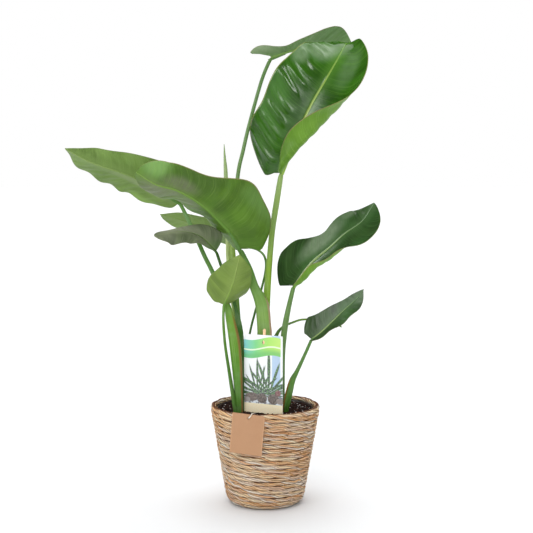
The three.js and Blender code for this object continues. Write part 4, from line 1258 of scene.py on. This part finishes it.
def printedSkin():
    # The print: rolling bands above, tufts of blades over pebbles, a bare cream foot
    skin, tree, shader = newSkin("printedCard", 0.32, Specular_IOR_Level=0.5, Coat_Weight=0.3,
                                 Coat_Roughness=0.12)
    u, w = uvParts(tree, "cardMap")

    def mottled(scale, detail):
        return speckle(tree, gather(tree, u, w), scale, detail)

    colour = blend(tree, rise(tree, w, 0.3, 1.3), "#dfe6ee", "#f4f7fa")
    sky = times(tree, rise(tree, u, 0.7, 0.74), rise(tree, u, 0.96, 0.92))
    sky = times(tree, sky, rise(tree, w, 0.5, 0.7))
    colour = blend(tree, times(tree, sky, 0.85), colour, "#9fbfe0")
    blot = mottled(24.0, 2.0)
    ground = times(tree, rise(tree, w, 0.66, 0.54), rise(tree, mottled(9.0, 4.0), 0.48, 0.54))
    colour = blend(tree, times(tree, ground, 0.85), colour, "#454b52")
    green = blend(tree, rise(tree, blot, 0.4, 0.65), "#22382a", "#5f8f52")
    for tuft in cardPrint["tufts"]:
        colour = blend(tree, tuftMask(tree, u, w, tuft), colour, green)
    for middle, half, code in cardPrint["stones"]:
        stone = blend(tree, rise(tree, blot, 0.35, 0.7, 0.0, 0.5), code, "#a8978a")
        colour = blend(tree, ovalMask(tree, u, w, middle, half), colour, stone)
    wave = times(tree, calc(tree, "SINE", plus(tree, times(tree, u, 5.2), 0.8)), 0.05)
    level = plus(tree, w, wave)
    hill = times(tree, rise(tree, level, 1.37, 1.385), rise(tree, level, 1.815, 1.8))
    hill = times(tree, hill, rise(tree, u, 0.97, 0.93))
    lime = bands(tree, u, [(0.0, "#6fc6c8"), (0.3, "#6fcf7d"), (0.6, "#a3df58"), (1.0, "#bfe768")])
    lime = blend(tree, rise(tree, level, 1.58, 1.42, 0.0, 0.75), lime, "#55b85c")
    colour = blend(tree, hill, colour, lime)
    thread = times(tree, rise(tree, level, 1.555, 1.565), rise(tree, level, 1.6, 1.59))
    colour = blend(tree, times(tree, thread, hill), colour, "#e6f6d4")
    cream = rise(tree, w, 0.275, 0.265)
    paper = mottled(40.0, 4.0)
    creamTone = blend(tree, rise(tree, paper, 0.3, 0.7), "#ffedc0", "#fff6da")
    colour = blend(tree, cream, colour, creamTone)
    dress(tree, shader, colour, rise(tree, paper, 0.3, 0.7, 0.28, 0.38))
    return skin


def makeLabelCard(settings):
    bm = cutCard(settings, lambda u, w: 0.004 * u * u)
    stand = Matrix.Rotation(math.radians(90), 4, "X")
    cx, cy = settings["centre"]
    place = Matrix.Translation(Vector((cx, cy, settings["bottom"] + settings["tall"] / 2)) * mm)
    bmesh.ops.transform(bm, matrix=place @ Matrix.Rotation(math.radians(settings["yaw"]), 4, "Z") @ stand,
                        verts=bm.verts)
    back, tree, shader = newSkin("cardBack", 0.45, Specular_IOR_Level=0.4)
    haze = clouds(tree, 90.0, 4.0)
    dress(tree, shader, blend(tree, haze, "#e9ebea", "#f8f8f6"), rise(tree, haze, 0.3, 0.7, 0.4, 0.5))
    return finishPiece("labelCard", bm, [printedSkin(), back], ["label_card"], smooth=False)


makeLabelCard(labelCard)
say("label card")


# Stake: a thin round stick behind the card, with a rounded top
stake = {"behind": 3.5, "half": 2.75, "bottom": 118, "top": 320.8, "round": 2.2, "around": 24, "along": 120}


def makeStake(settings):
    yaw = math.radians(labelCard["yaw"])
    cx, cy = labelCard["centre"]
    foot = Vector((cx - settings["behind"] * math.sin(yaw), cy + settings["behind"] * math.cos(yaw), 0))
    tall = settings["top"] - settings["bottom"]

    def place(x, v):
        height = settings["bottom"] + tall * v
        below = max(settings["top"] - height, 0.0)
        size = settings["half"] * math.sqrt(max(1 - max(1 - below / settings["round"], 0.0) ** 2, 0.01))
        flat = 1 - 0.05 * math.cos(4 * math.pi * x)
        turn = 2 * math.pi * x
        sway = 0.12 * math.sin(height / 23)
        return (foot + polar(size * flat, turn, height) + Vector((sway, 0, 0))) * mm

    bm = bmesh.new()
    wrapGrid(bm, settings["around"], settings["along"], place, "stakeMap")
    skin, tree, shader = newSkin("stickWood", 0.6, Specular_IOR_Level=0.3)
    turn, along = uvParts(tree, "stakeMap")
    grain = streaks(tree, turn, along, (16.0, 9.0), 5.0, 0.6)
    dress(tree, shader, bands(tree, grain, [(0.3, "#eeb684"), (0.5, "#ffd4a6"), (0.7, "#ffefd6")]))
    bumpInto(tree, shader, grain, 0.0004, 0.6)
    return finishPiece("labelStake", bm, [skin], ["label_stake"])


makeStake(stake)
say("stake")


# Kraft tag on the rope wall, with its twine over the rim
tag = {"wide": 57, "tall": 72, "thick": 0.6, "corner": 1.2, "azimuth": -101, "reach": 96.5, "aside": 13,
       "lean": 4.5, "spin": -5.5, "centreHeight": 143, "hole": (0, 29, 2, 2)}


def tagPlacement(settings):
    azimuth = math.radians(settings["azimuth"])
    middle = polar(settings["reach"], azimuth, settings["centreHeight"]) * mm
    return (Matrix.Translation(middle) @ Matrix.Rotation(azimuth, 4, "Z")
            @ Matrix.Translation((0, -settings["aside"] * mm, 0))
            @ Matrix.Rotation(math.radians(settings["lean"]), 4, "Y")
            @ Matrix.Rotation(math.radians(settings["spin"]), 4, "X"))


tagPlace = tagPlacement(tag)


def makeTag(settings):
    bm = cutCard(settings, lambda u, w: 0.0012 * u * u + 0.001 * max(-w, 0) ** 2)
    lay = Matrix(((0, 0, 1, 0), (1, 0, 0, 0), (0, 1, 0, 0), (0, 0, 0, 1)))      # sets the flat card upright
    bmesh.ops.transform(bm, matrix=tagPlace @ lay, verts=bm.verts)
    skin, tree, shader = newSkin("kraftCard", 0.85, Specular_IOR_Level=0.2)
    u, w = uvParts(tree, "cardMap")
    fibres = streaks(tree, u, w, (40.0, 140.0), 4.0)
    flecks = clouds(tree, 700.0, 2.0)
    cloud = clouds(tree, 50.0, 3.0)
    colour = bands(tree, fibres, [(0.3, "#b18562"), (0.5, "#bc906d"), (0.7, "#c69d7a")])
    colour = tint(tree, colour, "#b48865", cloud, 0.4, 0.7, 0.35)
    colour = tint(tree, colour, "#8d6242", flecks, 0.68, 0.76, 0.5)
    side = unsigned(tree, minus(tree, u, 0.5))
    colour = tint(tree, colour, "#dcae86", side, 0.46, 0.5, 0.5)
    dress(tree, shader, colour)
    bumpInto(tree, shader, fibres, 0.0003, 0.7)
    return finishPiece("kraftTag", bm, [skin, skin], ["kraft_tag"], smooth=False)


# Twine: two strands from the tag's hole over the rim
twine = {"half": 0.62, "plies": 2, "plyTurns": 9, "apart": 1.3, "rimTop": 179.5, "around": 12, "along": 90}


def makeTwine(settings):
    holeUp = tag["hole"][1]
    rimTop = settings["rimTop"]

    def knot(x, y, z):
        return tagPlace @ (Vector((x, y, z)) * mm)

    def onRim(radius, degrees, height):
        return polar(radius, math.radians(degrees), height) * mm

    bm = bmesh.new()
    for strand in (0, 1):
        aside = strand * settings["apart"]
        keys = [knot(-0.2, -0.2, holeUp), knot(1.7, 0.3 + aside * 0.3, holeUp + 0.8),
                knot(1.6, 2.6 + aside * 0.7, holeUp + 4 - aside * 0.5), knot(1.4, 4.6 + aside * 0.6, 36.6),
                knot(-0.6, 5.6 + aside * 0.4, 37.9), onRim(93.3, -103.5 + aside * 0.5, rimTop),
                onRim(90, -103 + aside * 0.5, rimTop - 0.9), onRim(87.3, -102.5 + aside * 0.5, rimTop - 5)]
        at = evenShares(keys)[0]

        def place(x, v):
            u = at(v)
            tangent = heading(keys, u)
            across = Vector((0, 0, 1)).cross(tangent).normalized()
            other = tangent.cross(across)
            turn = 2 * math.pi * x
            ridge = abs(math.sin(settings["plies"] * (math.pi * x + math.pi * settings["plyTurns"] * v)))
            size = settings["half"] * (0.78 + 0.22 * ridge) * mm
            return spline(keys, u) + across * (math.cos(turn) * size) + other * (math.sin(turn) * size)

        wrapGrid(bm, settings["around"], settings["along"], place, "twineMap")
    skin, tree, shader = newSkin("cottonTwine", 0.9, Sheen_Weight=0.2)
    turn, along = uvParts(tree, "twineMap")
    hairs = streaks(tree, turn, along, (8.0, 30.0), 3.0)
    dress(tree, shader, bands(tree, hairs, [(0.3, "#cdbfa3"), (0.5, "#eadfcb"), (0.7, "#fbf6ec")]))
    bumpInto(tree, shader, hairs, 0.0002, 0.6)
    return finishPiece("tagTwine", bm, [skin], ["tag_string"])


makeTag(tag)
makeTwine(twine)
say("tag and twine")
